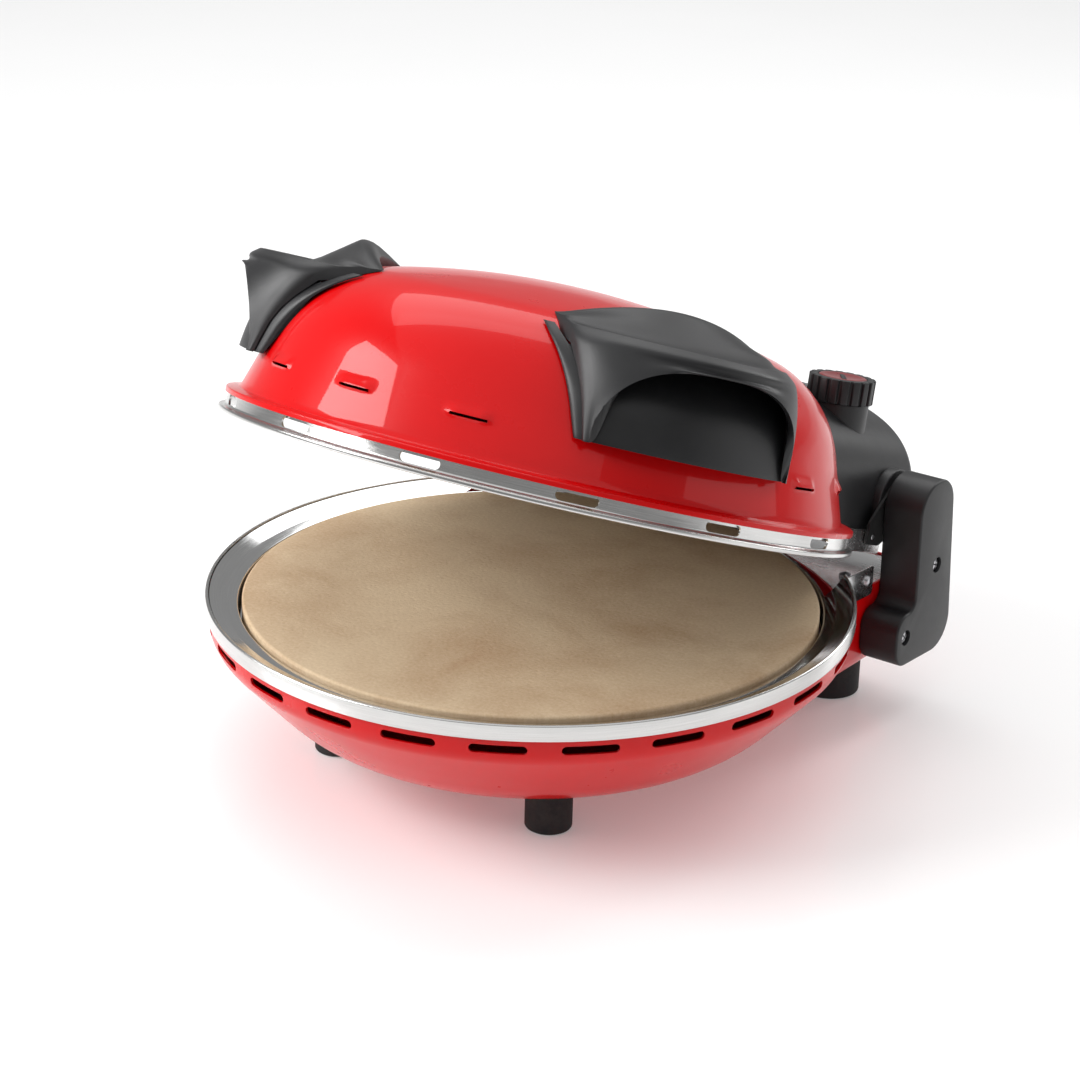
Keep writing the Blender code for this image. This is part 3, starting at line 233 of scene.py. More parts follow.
def cut(obj, tool, operation="DIFFERENCE"):
    modifier = obj.modifiers.new("cut", "BOOLEAN")
    modifier.operation = operation
    modifier.solver = "EXACT"
    modifier.object = tool
    bake(obj)
    bpy.data.objects.remove(tool)
    return obj


def soften(obj, width, segments=3, angle=35.0):
    """Round the edges sharper than an angle."""
    bevel = obj.modifiers.new("edge", "BEVEL")
    bevel.width = width
    bevel.segments = segments
    bevel.limit_method = "ANGLE"
    bevel.angle_limit = math.radians(angle)
    bevel.harden_normals = False
    return bake(obj)


def shade(obj, angle=35.0):
    obj.data.shade_smooth()
    obj.data.set_sharp_from_angle(angle=math.radians(angle))
    return obj


def arc(centre, radius, start, end, steps):
    turn = (end - start) / steps
    return [(centre[0] + radius * math.cos(start + turn * i),
             centre[1] + radius * math.sin(start + turn * i)) for i in range(steps + 1)]


def filleted(corners, closed=True, steps=4):
    """Outline through corners of (u, v, radius), each rounded by an arc."""
    outline = []
    count = len(corners)
    for i, (u, v, radius) in enumerate(corners):
        end_point = not closed and i in (0, count - 1)
        if radius == 0.0 or end_point:
            outline.append((u, v))
            continue
        here = Vector((u, v))
        back = (Vector(corners[i - 1][:2]) - here).normalized()
        ahead = (Vector(corners[(i + 1) % count][:2]) - here).normalized()
        half = back.angle(ahead) / 2
        reach = radius / math.tan(half)
        first, last = here + back * reach, here + ahead * reach
        centre = here + (back + ahead).normalized() * (radius / math.sin(half))
        for k in range(steps + 1):
            way = first.lerp(last, k / steps) - centre
            outline.append(tuple(centre + way.normalized() * radius))
    return outline


def bridge(bm, first, second):
    """Faces between two rings; a ring of one vertex is a pole."""
    count = max(len(first), len(second))
    for i in range(count):
        j = (i + 1) % count
        corners = (first[i % len(first)], second[i % len(second)],
                   second[j % len(second)], first[j % len(first)])
        bm.faces.new(dict.fromkeys(corners))


def bridge_all(bm, rows):
    for first, second in zip(rows, rows[1:]):
        bridge(bm, first, second)


def skin(bm, rings):
    """Faces through successive rings and one over each end; gives those two."""
    bridge_all(bm, rings)
    return [bm.faces.new(reversed(rings[0])), bm.faces.new(rings[-1])]


def turned(name, profile, closed=True, segments=ROUND, thickness=0.0):
    """Turn a profile of (radius, height) about Z."""
    bm = bmesh.new()
    rings = []
    for radius, height in profile:
        if radius < 1e-7:
            rings.append([bm.verts.new((0.0, 0.0, height))])
            continue
        turn = math.tau / segments
        rings.append([bm.verts.new((radius * math.cos(turn * i), radius * math.sin(turn * i),
                                    height)) for i in range(segments)])
    bridge_all(bm, rings)
    if closed and len(rings[0]) > 1:
        bridge(bm, rings[-1], rings[0])
    obj = from_bmesh(name, bm)
    if thickness:
        wall = obj.modifiers.new("wall", "SOLIDIFY")
        wall.thickness = thickness
        wall.offset = -1.0
        wall.use_even_offset = True
        bake(obj)
    return obj


def add_box(bm, low, high):
    low, high = Vector(low), Vector(high)
    matrix = (Matrix.Translation((low + high) / 2)
              @ Matrix.Diagonal((*(high - low), 1.0)))
    return bmesh.ops.create_cube(bm, size=1.0, matrix=matrix)["verts"]


def box(name, low, high):
    bm = bmesh.new()
    add_box(bm, low, high)
    return from_bmesh(name, bm)


def turned_boxes(name, low, high, angles):
    """The same box turned about Z to each angle."""
    bm = bmesh.new()
    for angle in angles:
        verts = add_box(bm, low, high)
        bmesh.ops.transform(bm, matrix=Matrix.Rotation(angle, 4, "Z"), verts=verts)
    return from_bmesh(name, bm)


def rods(name, rows, segments=48):
    """Separate round rods in one object; rows of (start, end, radius)."""
    bm = bmesh.new()
    for start, end, radius in rows:
        start, end = Vector(start), Vector(end)
        along = end - start
        matrix = (Matrix.Translation((start + end) / 2)
                  @ along.to_track_quat("Z", "Y").to_matrix().to_4x4())
        bmesh.ops.create_cone(bm, cap_ends=True, segments=segments, radius1=radius,
                              radius2=radius, depth=along.length, matrix=matrix)
    return from_bmesh(name, bm)


def prism(name, outline, low, high, matrix):
    """An outline in the local XY plane, raised from low to high."""
    bm = bmesh.new()
    skin(bm, [[bm.verts.new(matrix @ Vector((u, v, w))) for u, v in outline]
              for w in (low, high)])
    return from_bmesh(name, bm)


def tube(name, points, radius, sides=12, cyclic=False):
    """Round bar swept along points, with domed ends."""
    bm = bmesh.new()
    rings = []
    normal = None
    count = len(points)
    for i, place in enumerate(points):
        ahead = points[(i + 1) % count] if cyclic or i < count - 1 else place
        behind = points[i - 1] if cyclic or i > 0 else place
        along = (ahead - behind).normalized()
        if normal is None:
            normal = along.orthogonal().normalized()
        normal = (normal - along * normal.dot(along)).normalized()
        side = along.cross(normal)
        rings.append([bm.verts.new(place + normal * radius * math.cos(math.tau * k / sides)
                                   + side * radius * math.sin(math.tau * k / sides))
                      for k in range(sides)])
    if cyclic:
        bridge_all(bm, rings + rings[:1])
    else:
        skin(bm, rings)
    return shade(from_bmesh(name, bm), 50.0)


def loft(name, rings):
    """Closed solid through rings of equal length."""
    bm = bmesh.new()
    caps = skin(bm, [[bm.verts.new(place) for place in ring] for ring in rings])
    bmesh.ops.triangulate(bm, faces=caps)
    return from_bmesh(name, bm)


def polar(angle, radius, height):
    """Point at an angle from the front, growing towards +X."""
    return Vector((radius * math.sin(angle), -radius * math.cos(angle), height))


def capsules(name, angles, radius, height, size, depth):
    """Radial cutters with round ends."""
    length, width = size
    half = length / 2 - width / 2
    outline = arc((half, 0), width / 2, -math.pi / 2, math.pi / 2, 8)
    outline += arc((-half, 0), width / 2, math.pi / 2, 1.5 * math.pi, 8)
    bm = bmesh.new()
    for angle in angles:
        centre = polar(angle, radius, height)
        out = polar(angle, 1.0, 0.0)
        along = Vector((math.cos(angle), math.sin(angle), 0.0))
        skin(bm, [[bm.verts.new(centre + out * reach + along * u + Vector((0, 0, v)))
                   for u, v in outline] for reach in (-depth / 2, depth / 2)])
    return from_bmesh(name, bm)


def clamp(value):
    return min(max(value, 0.0), 1.0)


def smooth_step(value):
    value = clamp(value)
    return value * value * (3.0 - 2.0 * value)


def on_side(sign, first, second):
    """Two places along X on one side of the oven, the lower one first."""
    return sorted((sign * first, sign * second))


# ---------------------------------------------------------------- finishes
class Finish:
    """A procedural material built around one Principled shader."""

    def __init__(self, name, colour, roughness, metallic=0.0, **constants):
        self.material = bpy.data.materials.new(name)
        self.material.use_nodes = True
        self.tree = self.material.node_tree
        self.shader = self.tree.nodes["Principled BSDF"]
        self.set("Base Color", (*colour, 1.0))
        self.set("Roughness", roughness)
        self.set("Metallic", metallic)
        for socket, value in constants.items():
            self.set(socket.replace("_", " "), value)
        self.place = self.tree.nodes.new("ShaderNodeTexCoord").outputs["Object"]
        self.height = None

    def set(self, socket, value):
        self.shader.inputs[socket].default_value = value

    def node(self, kind, links=(), **values):
        made = self.tree.nodes.new(kind)
        for key, value in values.items():
            setattr(made, key, value)
        for socket, source in links:
            self.feed(made.inputs[socket], source)
        return made

    def feed(self, socket, source):
        if hasattr(source, "is_output"):
            self.tree.links.new(source, socket)
        else:
            socket.default_value = source

    def math(self, operation, first, second=0.0):
        return self.node("ShaderNodeMath", ((0, first), (1, second)),
                         operation=operation).outputs[0]

    def noise(self, scale, detail=3.0, rough=0.55, place=None, distortion=0.0):
        return self.node("ShaderNodeTexNoise",
                         (("Vector", place or self.place), ("Scale", scale),
                          ("Detail", detail), ("Roughness", rough),
                          ("Distortion", distortion))).outputs["Fac"]

    def cells(self, scale, place=None):
        made = self.node("ShaderNodeTexVoronoi",
                         (("Vector", place or self.place), ("Scale", scale)))
        return made.outputs["Distance"]

    def span(self, value, from_low, from_high, low, high):
        return self.node("ShaderNodeMapRange",
                         (("Value", value), ("From Min", from_low), ("From Max", from_high),
                          ("To Min", low), ("To Max", high))).outputs["Result"]

    def stretched(self, scale):
        return self.node("ShaderNodeVectorMath", ((0, self.place), (1, scale)),
                         operation="MULTIPLY").outputs[0]

    def turned_place(self, along, across, axis_place):
        """Coordinates that run round a piece's own axis, for turned and spun metal."""
        own = self.node("ShaderNodeMapping",
                        (("Vector", self.place), ("Location", tuple(axis_place.to_translation())),
                         ("Rotation", tuple(axis_place.to_euler()))), vector_type="TEXTURE")
        split = self.node("ShaderNodeSeparateXYZ", ((0, own.outputs[0]),))
        x, y, z = split.outputs
        angle = self.math("ARCTAN2", y, x)
        radius = self.math("SQRT", self.math("ADD", self.math("MULTIPLY", x, x),
                                             self.math("MULTIPLY", y, y)))
        join = self.node("ShaderNodeCombineXYZ",
                         ((0, self.math("MULTIPLY", angle, along)),
                          (1, self.math("MULTIPLY", radius, across)),
                          (2, self.math("MULTIPLY", z, across))))
        return join.outputs[0]

    def blend(self, share, first, second):
        mix = self.node("ShaderNodeMix", data_type="RGBA")
        self.feed(mix.inputs[0], share)
        self.feed(mix.inputs[6], first)
        self.feed(mix.inputs[7], second)
        return mix.outputs[2]

    def tones(self, value, low, high, first, second):
        """Colour that runs from first to second as a value runs from low to high."""
        return self.blend(self.span(value, low, high, 0.0, 1.0), (*first, 1.0), (*second, 1.0))

    def colour(self, source):
        self.tree.links.new(source, self.shader.inputs["Base Color"])

    def roughness(self, noise, low, high):
        """Roughness that follows a noise between two limits."""
        self.tree.links.new(self.span(noise, NOISE_LOW, NOISE_HIGH, low, high),
                            self.shader.inputs["Roughness"])

    def brushed(self, lines, grain, smears, gloss):
        """Roughness of brushed metal: its grain, given as a range, added to its smears."""
        total = self.math("ADD", self.span(lines, NOISE_LOW, NOISE_HIGH, *grain),
                          self.span(smears, 0.35, 0.7, *gloss))
        self.tree.links.new(total, self.shader.inputs["Roughness"])

    def bump(self, height, distance, strength=1.0):
        made = self.node("ShaderNodeBump", (("Height", height), ("Distance", distance),
                                            ("Strength", strength)))
        if self.height is not None:
            self.tree.links.new(self.height, made.inputs["Normal"])
        self.height = made.outputs["Normal"]
        self.tree.links.new(self.height, self.shader.inputs["Normal"])


def scaled(colour, factor):
    return tuple(c * factor for c in colour)


def red_enamel():
    """Glossy red enamel with a slight orange peel, dust in the pores and worn gloss."""
    paint = Finish("red_enamel", (0.64, 0.001, 0.002), 0.30, 0.0, Coat_Weight=0.42,
                   Coat_Roughness=0.03, Specular_IOR_Level=0.10)
    paint.colour(paint.tones(paint.noise(9.0, 4.0), 0.35, 0.7,
                             (0.62, 0.0006, 0.0015), (0.66, 0.0012, 0.0025)))
    paint.roughness(paint.noise(30.0, 5.0), 0.26, 0.34)
    paint.bump(paint.noise(420.0, 2.0), 0.00002, 0.22)
    paint.bump(paint.noise(60.0, 2.0), 0.00010, 0.05)
    return paint.material


def black_plastic(name, colour, roughness):
    """Moulded plastic with a fine spark-eroded grain and handling marks."""
    plastic = Finish(name, colour, roughness, 0.0, Specular_IOR_Level=0.45)
    marks = plastic.noise(16.0, 6.0, 0.65)
    plastic.colour(plastic.tones(marks, 0.3, 0.72, scaled(colour, 0.75), scaled(colour, 1.45)))
    plastic.roughness(marks, roughness - 0.06, roughness + 0.08)
    plastic.bump(plastic.noise(1500.0, 2.0), 0.00006, 0.45)
    plastic.bump(plastic.cells(900.0), 0.00003, 0.25)
    return plastic.material


def spun_steel(name, body, colour, roughness, grain, marks=0.5):
    """Turned metal with a grain that runs round the body's axis."""
    steel = Finish(name, colour, roughness, 1.0)
    around = steel.turned_place(5.0, 1500.0, PLACES[body])
    lines = steel.noise(1.0, 4.0, 0.7, around)
    smears = steel.noise(18.0, 5.0, 0.6)
    steel.brushed(lines, (-grain, grain), smears, (roughness, roughness + 0.10))
    steel.colour(steel.tones(lines, NOISE_LOW, NOISE_HIGH,
                             scaled(colour, 1.0 - 0.18 * marks), colour))
    steel.bump(lines, 0.00002, 0.5 * marks)
    return steel.material


def sheet_steel():
    """Drawn bright sheet with fine straight brushing and a few smears."""
    steel = Finish("polished_steel", (0.80, 0.80, 0.80), 0.22, 1.0)
    lines = steel.noise(1.0, 3.0, 0.6, steel.stretched((14.0, 900.0, 900.0)))
    smears = steel.noise(24.0, 5.0, 0.62)
    steel.brushed(lines, (-0.04, 0.05), smears, (0.18, 0.32))
    steel.bump(lines, 0.00001, 0.3)
    steel.bump(smears, 0.00010, 0.06)
    return steel.material


def baked_stone():
    """Unglazed stone: sandy grains, pits, and browner patches where dough has baked."""
    stone = Finish("refractory_stone", (0.60, 0.46, 0.30), 0.92, 0.0, Specular_IOR_Level=0.25)
    patches = stone.noise(11.0, 6.0, 0.62, distortion=0.4)
    grains = stone.noise(520.0, 4.0, 0.7)
    toast = stone.tones(patches, 0.42, 0.68, (0.66, 0.49, 0.31), (0.42, 0.235, 0.11))
    speck = stone.tones(grains, 0.30, 0.72, (0.50, 0.37, 0.24), (0.84, 0.72, 0.55))
    stone.colour(stone.blend(0.35, toast, speck))
    stone.roughness(grains, 0.82, 0.97)
    stone.bump(grains, 0.00022, 0.7)
    stone.bump(stone.span(stone.cells(260.0), 0.0, 0.35, 0.0, 1.0), 0.00025, 0.35)
    return stone.material


def flecked(name, colour, roughness, metallic, noise, tones, gloss, grain, **constants):
    """Plain finish: one noise drives its colour and its gloss, another its fine grain."""
    look = Finish(name, colour, roughness, metallic, **constants)
    fleck = look.noise(*noise)
    look.colour(look.tones(fleck, *tones))
    look.roughness(fleck, *gloss)
    look.bump(look.noise(*grain[0]), *grain[1:])
    return look.material


def heated_tube():
    """Heating tube: dark sheath with straw and blue heat colours."""
    look = Finish("element_sheath", (0.12, 0.11, 0.10), 0.50, 1.0)
    heat = look.noise(26.0, 4.0, 0.6)
    soot = look.noise(400.0, 3.0, 0.7)
    tint = look.tones(heat, 0.35, 0.65, (0.20, 0.155, 0.105), (0.085, 0.095, 0.130))
    look.colour(look.blend(look.span(soot, 0.5, 0.75, 0.0, 0.7), tint,
                           (0.05, 0.047, 0.043, 1.0)))
    look.roughness(soot, 0.42, 0.68)
    look.bump(soot, 0.00005, 0.5)
    return look.material


def amber_lens():
    lens = Finish("lamp_lens", (0.85, 0.36, 0.10), 0.10, 0.0,
                  Transmission_Weight=0.55, IOR=1.49)
    grain = lens.noise(300.0, 3.0)
    lens.colour(lens.tones(grain, 0.35, 0.7, (0.80, 0.32, 0.08), (0.90, 0.42, 0.14)))
    lens.roughness(grain, 0.07, 0.18)
    lens.bump(lens.cells(900.0), 0.00010, 0.4)
    return lens.material


FINISHES = {
    "red_enamel": red_enamel(),
    "black_steel": black_plastic("black_steel", (0.016, 0.016, 0.016), 0.34),
    "dark_red_plastic": black_plastic("dark_red_plastic", (0.17, 0.010, 0.012), 0.26),
    "polished_steel": sheet_steel(),
    "pan_steel": spun_steel("pan_steel", "base", (0.72, 0.72, 0.715), 0.06, 0.03, 0.45),
    "reflector_steel": spun_steel("reflector_steel", "lid", (0.66, 0.66, 0.655),
                                  0.12, 0.05, 0.7),
    "brushed_steel": spun_steel("brushed_steel", "base", (0.68, 0.675, 0.665), 0.17, 0.05, 0.9),
    "lid_steel": spun_steel("lid_steel", "lid", (0.68, 0.675, 0.665), 0.17, 0.05, 0.9),
    "black_plastic": black_plastic("black_plastic", (0.010, 0.010, 0.011), 0.42),
    "foot_rubber": flecked("foot_rubber", (0.018, 0.018, 0.019), 0.72, 0.0, (70.0, 6.0, 0.7),
                           (0.45, 0.8, (0.012, 0.012, 0.013), (0.050, 0.048, 0.045)),
                           (0.62, 0.85), ((1100.0, 2.0), 0.00005, 0.4), Specular_IOR_Level=0.4),
    "refractory_stone": baked_stone(),
    "element_sheath": heated_tube(),
    "ceramic": flecked("ceramic", (0.78, 0.76, 0.70), 0.35, 0.0, (60.0, 5.0, 0.6),
                       (0.35, 0.7, (0.70, 0.67, 0.60), (0.84, 0.82, 0.77)), (0.28, 0.45),
                       ((700.0, 3.0), 0.00005, 0.3), Coat_Weight=0.4, Coat_Roughness=0.1),
    "zinc_screw": flecked("zinc_screw", (0.58, 0.58, 0.60), 0.28, 1.0, (500.0, 4.0, 0.65),
                          (0.35, 0.7, (0.44, 0.44, 0.46), (0.66, 0.66, 0.68)), (0.20, 0.42),
                          ((500.0, 4.0, 0.65), 0.00003, 0.4)),
    "lamp_lens": amber_lens(),
}


def add_piece(obj, body, slot, *nodes, finish=None):
    """Give a piece its finish and place, and let it stand for CAD nodes on a body."""
    obj.data.materials.clear()
    obj.data.materials.append(FINISHES[finish or slot])
    obj.data.transform(PLACES[body])
    if nodes:
        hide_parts(*nodes)
    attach(obj, body)
    return obj


# ---------------------------------------------------------------- base shell
def bowl_profile(grow=0.0, top=RIM_Z - RIM_BAND_HEIGHT - GAP):
    """Closed profile of the bowl's outside, grown outward by a margin."""
    fillet = arc((SHELL_TOP_RADIUS - SHELL_FILLET, SHELL_FILLET_Z), SHELL_FILLET + grow,
                 0.0, -SHELL_SLOPE, 8)
    corner = fillet[-1]
    radius = SHELL_BELLY_RADIUS + grow
    belly_z = SHELL_BOTTOM_Z + SHELL_BELLY_RADIUS
    drop = corner[1] - (belly_z - radius * math.sin(SHELL_SLOPE))
    belly_x = corner[0] - drop * math.tan(SHELL_SLOPE) - radius * math.cos(SHELL_SLOPE)
    belly = arc((belly_x, belly_z), radius, -SHELL_SLOPE, -math.pi / 2, 12)
    return [(0.0, top), (SHELL_TOP_RADIUS + grow, top), *fillet, *belly,
            (0.0, SHELL_BOTTOM_Z - grow)]


def rear_box(name, shrink, top):
    """Rear box with round upright corners and a round lower edge."""
    bm = bmesh.new()
    half = BOX_HALF_WIDTH - shrink
    front, rear = BOX_FRONT_Y + shrink, BOX_REAR_Y - shrink
    bottom = BOX_BOTTOM_Z + shrink
    add_box(bm, (-half, front, bottom), (half, rear, top))
    tiny = 1e-6
    upright = [e for e in bm.edges if all(v.co.y > rear - tiny for v in e.verts)
               and abs(e.verts[0].co.x - e.verts[1].co.x) < tiny]
    bmesh.ops.bevel(bm, geom=upright, offset=BOX_CORNER - shrink, segments=14,
                    affect="EDGES", profile=0.5)
    low = [e for e in bm.edges if all(v.co.z < bottom + tiny for v in e.verts)
           and not all(v.co.y < front + tiny for v in e.verts)]
    bmesh.ops.bevel(bm, geom=low, offset=BOX_EDGE - shrink, segments=7,
                    affect="EDGES", profile=0.5)
    return from_bmesh(name, bm)


def foot_rows():
    """Name, place relative to the bowl's axis and radius of every foot."""
    rows = []
    for end in ("front", "rear"):
        for side, _ in SIDES:
            low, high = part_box(f"foot_{end}_{side}")
            centre = (low + high) / 2
            rows.append((f"{end}_{side}", centre.x, centre.y - BOWL_Y, (high.x - low.x) / 2))
    return rows


def make_base_shell():
    shell = turned("base_shell", bowl_profile())
    cut(shell, rear_box("rear_box_outside", 0.0, BOX_TOP_Z), "UNION")
    cut(shell, turned("bowl_inside", bowl_profile(-SHELL_WALL, RIM_Z + 0.01)))
    pocket = rear_box("rear_box_inside", SHELL_WALL, RIM_Z + 0.01)
    cut(pocket, turned("bowl_outside", bowl_profile(-0.0002)))
    cut(shell, pocket)
    cut(shell, box("neck_opening", (-BOX_HALF_WIDTH + SHELL_WALL, 0.05, BOX_TOP_Z),
                   (BOX_HALF_WIDTH - SHELL_WALL, 0.25, RIM_Z)))
    angles = [SLOT_PHASE + SLOT_PITCH * i for i in range(-SLOT_REACH, SLOT_REACH + 1)]
    cut(shell, capsules("base_slots", angles, SHELL_TOP_RADIUS - 0.002, SLOT_Z,
                        SLOT_SIZE, 0.016))
    add_piece(shade(shell, 40.0), "base", "red_enamel", "lower_shell")


def make_rim_band():
    low = RIM_Z - RIM_BAND_HEIGHT
    inner, outer = RIM_INNER_RADIUS, RIM_BOTTOM_RADIUS
    profile = filleted([(inner, RIM_Z - 0.0007, 0.0), (RIM_TOP_RADIUS, RIM_Z, 0.0004),
                        (outer - 0.0001, RIM_Z - 0.0008, 0.0006),
                        (outer, low, 0.0005), (inner, low, 0.0)], steps=3)
    ring = turned("rim_band", profile)
    cut(ring, box("ring_opening", (-NECK_CUT_HALF_WIDTH, 0.05, 0.07),
                  (NECK_CUT_HALF_WIDTH, 0.25, 0.10)))
    add_piece(shade(ring), "base", "brushed_steel", "lower_rim_ring")


def make_rim_tabs():
    """Folded ends of the band, which run back along the box and are screwed to it."""
    outline = filleted([(0.1225, 0.0800, 0.0008), (0.1275, 0.0715, 0.0030),
                        (0.1530, 0.0700, 0.0030), (0.1530, 0.0872, 0.0012),
                        (0.1225, 0.0890, 0.0006)], steps=6)
    for side, sign in SIDES:
        low, high = on_side(sign, BOX_HALF_WIDTH - 0.0004, TAB_FACE_X)
        tab = prism("rim_tab_" + side, outline, 0.0, high - low, side_plane(low))
        add_piece(shade(soften(tab, 0.0003, 2)), "base", "polished_steel")
        add_screw("rim_tab_screw_" + side, "base", (sign * TAB_FACE_X, *TAB_SCREW),
                  (sign, 0, 0), 0.0034, 0.0016, 0.002)


def make_inner_pan():
    flange_z = PAN_BOX[1].z
    profile = filleted([(0.1738, flange_z, 0.0), (0.1655, 0.0856, 0.006),
                        (0.1586, 0.0844, 0.0010), (0.1586, 0.0732, 0.0012),
                        (0.1485, 0.0732, 0.0012), (0.1470, 0.058, 0.004),
                        (0.0, 0.0565, 0.0)], closed=False)
    pan = turned("inner_pan", profile, closed=False, thickness=PAN_THICKNESS)
    trim = turned("pan_neck_trim", [(0.1605, 0.10), (0.19, 0.10), (0.19, 0.05), (0.1605, 0.05)])
    keep = box("pan_neck_side", (-NECK_CUT_HALF_WIDTH, 0.08, 0.04),
               (NECK_CUT_HALF_WIDTH, 0.25, 0.11))
    cut(trim, keep, "INTERSECT")
    cut(pan, trim)
    add_piece(shade(pan), "base", "polished_steel", "lower_pan", finish="pan_steel")


def make_stone():
    top, bottom = STONE_BOX[1].z, STONE_BOX[0].z
    steps = 26
    rings = [(STONE_RADIUS * i / steps, top) for i in range(steps)]
    edge = filleted([(0.14, top, 0.0), (STONE_RADIUS, top, 0.0016),
                     (STONE_RADIUS, bottom, 0.0016), (0.14, bottom, 0.0)], closed=False, steps=5)
    profile = rings[:-2] + edge[1:-1] + [(0.0, bottom)]
    stone = turned("baking_stone", profile)
    add_piece(shade(stone, 50.0), "stone", "refractory_stone", "pizza_stone")


def make_feet():
    for name, x, y, radius in foot_rows():
        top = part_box("foot_" + name)[1].z
        profile = filleted([(0.0023, top, 0.0), (radius, top, 0.0006), (radius, 0.0, 0.0016),
                            (0.0040, 0.0, 0.0008), (0.0040, 0.0083, 0.0), (0.0023, 0.0083, 0.0)])
        foot = turned("rubber_foot_" + name, profile, segments=72)
        foot.data.transform(Matrix.Translation((x, y, 0.0)))
        if y < 0:
            cut(foot, turned("bowl_clearance", bowl_profile(GAP)))
        add_piece(shade(foot), "base", "foot_rubber", "foot_" + name)
        add_screw("foot_bolt_" + name, "base", (x, y, 0.0078), (0, 0, -1),
                  0.0036, 0.0020, 0.018, "foot_screw_" + name)


def make_gland():
    x, z = GLAND
    low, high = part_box("cord_gland")
    rear = BOX_REAR_Y + GAP
    length = high.y - BOWL_Y - rear
    inside = low.y - BOWL_Y - rear
    profile = filleted([(0.0035, length, 0.0006), (0.0066, length, 0.0010),
                        (0.0085, 0.0030, 0.0008), (0.0085, 0.0, 0.0), (0.0058, 0.0, 0.0),
                        (0.0058, inside, 0.0), (0.0035, inside, 0.0)])
    gland = turned("gland_body", profile, segments=64)
    cut(gland, turned_boxes("gland_grooves", (0.0078, -0.0006, 0.0036),
                            (0.0110, 0.0006, length + 0.002),
                            [math.tau * i / GLAND_GROOVES for i in range(GLAND_GROOVES)]))
    lying = Matrix.Rotation(-math.pi / 2, 4, "X")
    gland.data.transform(Matrix.Translation((x, rear, z)) @ lying)
    add_piece(shade(gland), "base", "black_plastic", "cord_gland")


# ---------------------------------------------------------------- screws
def add_screw(name, body, head_base, out, radius, height, shank, *nodes):
    """Domed cross-head screw; head_base is where its head meets the surface."""
    head_base, out = Vector(head_base), Vector(out)
    dome = [(radius * math.cos(a), height * (0.35 + 0.65 * math.sin(a)))
            for a in (math.pi / 2 * i / 8 for i in range(8, -1, -1))]
    dome[0] = (0.0, height)
    stem = radius * 0.5
    profile = dome + [(radius, 0.0), (stem, 0.0), (stem, -shank), (0.0, -shank)]
    screw = turned(name, profile, segments=40)
    width, reach = radius * 0.22, radius * 0.62
    for x, y in ((reach, width / 2), (width / 2, reach)):
        cut(screw, box("cross", (-x, -y, height * 0.25), (x, y, height * 1.5)))
    tilt = out.to_track_quat("Z", "Y").to_matrix().to_4x4()
    spin = Matrix.Rotation(0.4 + 1.7 * (head_base.x + head_base.y) * 10, 4, "Z")
    screw.data.transform(Matrix.Translation(head_base) @ tilt @ spin)
    return add_piece(shade(screw), body, "zinc_screw", *nodes)


# ---------------------------------------------------------------- hinge
def side_plane(x):
    """Maps an outline's (u, v) to (Y, Z) on the plane at X = x."""
    return Matrix(((0, 0, 1, x), (1, 0, 0, 0), (0, 1, 0, 0), (0, 0, 0, 1)))


def hinge_rod(start, end, radius):
    """Rod on the hinge's axis between two places along X."""
    return (start, HINGE_Y, HINGE_Z), (end, HINGE_Y, HINGE_Z), radius


def arm_outline(inset=0.0):
    """Side view of a hinge arm in (Y, Z), round at the pivot and footed forward below."""
    i = inset
    corners = [(0.1420 + i, 0.0330 + i, 0.012 - i), (0.2045 - i, 0.0300 + i, 0.018 - i),
               (0.1955 - i, 0.1360 - i, 0.017 - i), (0.1595 + i, 0.1360 - i, 0.017 - i),
               (0.1610 + i, 0.0640 - i, 0.007 + i), (0.1420 + i, 0.0640 - i, 0.0105 - i)]
    return filleted(corners, steps=12)


def make_arms():
    for side, sign in SIDES:
        inner, outer = on_side(sign, ARM_INNER_X, ARM_OUTER_X)
        arm = prism("arm_" + side, arm_outline(), 0.0, outer - inner, side_plane(inner))
        soften(arm, 0.0013, 4)
        low, high = on_side(sign, ARM_INNER_X - 0.001, ARM_INNER_X + 0.0025)
        cut(arm, prism("bracket_pocket", arm_outline(0.0045), 0.0, high - low, side_plane(low)))
        recesses = [((sign * ARM_RECESS_X, y, z), (sign * 0.152, y, z), ARM_RECESS_RADIUS)
                    for _, y, z in ARM_SCREWS]
        cut(arm, rods("arm_recesses", recesses))
        cut(arm, rods("pin_bore", [hinge_rod(sign * 0.11, sign * 0.1395, PIN_BORE_RADIUS)]))
        add_piece(shade(arm), "base", "black_plastic", "hinge_arm_" + side)
        for place, y, z in ARM_SCREWS:
            add_screw(f"arm_bolt_{side}_{place}", "base", (sign * ARM_BOLT_X, y, z),
                      (sign, 0, 0), ARM_BOLT_RADIUS, 0.0028, 0.014, f"arm_screw_{side}_{place}")


def make_deck_screws():
    x, y, z = DECK_SCREW
    for side, sign in SIDES:
        add_screw("deck_bolt_" + side, "base", (sign * x, y, z), (0, 0, 1),
                  0.0038, 0.0021, 0.008, "deck_screw_" + side)


# ---------------------------------------------------------------- lid
def dome_points():
    """Joints of the dome's profile: crown centre, shoulder centre and wall top."""
    crown = (0.0, DOME_HEIGHT - CROWN_RADIUS)
    tilt = math.asin(CROWN_EDGE / CROWN_RADIUS)
    meet = (CROWN_EDGE, crown[1] + CROWN_RADIUS * math.cos(tilt))
    shoulder = (meet[0] - SHOULDER_RADIUS * math.sin(tilt),
                meet[1] - SHOULDER_RADIUS * math.cos(tilt))
    wall_top = (shoulder[0] + SHOULDER_RADIUS * math.cos(WALL_LEAN),
                shoulder[1] + SHOULDER_RADIUS * math.sin(WALL_LEAN))
    return crown, tilt, meet, shoulder, wall_top


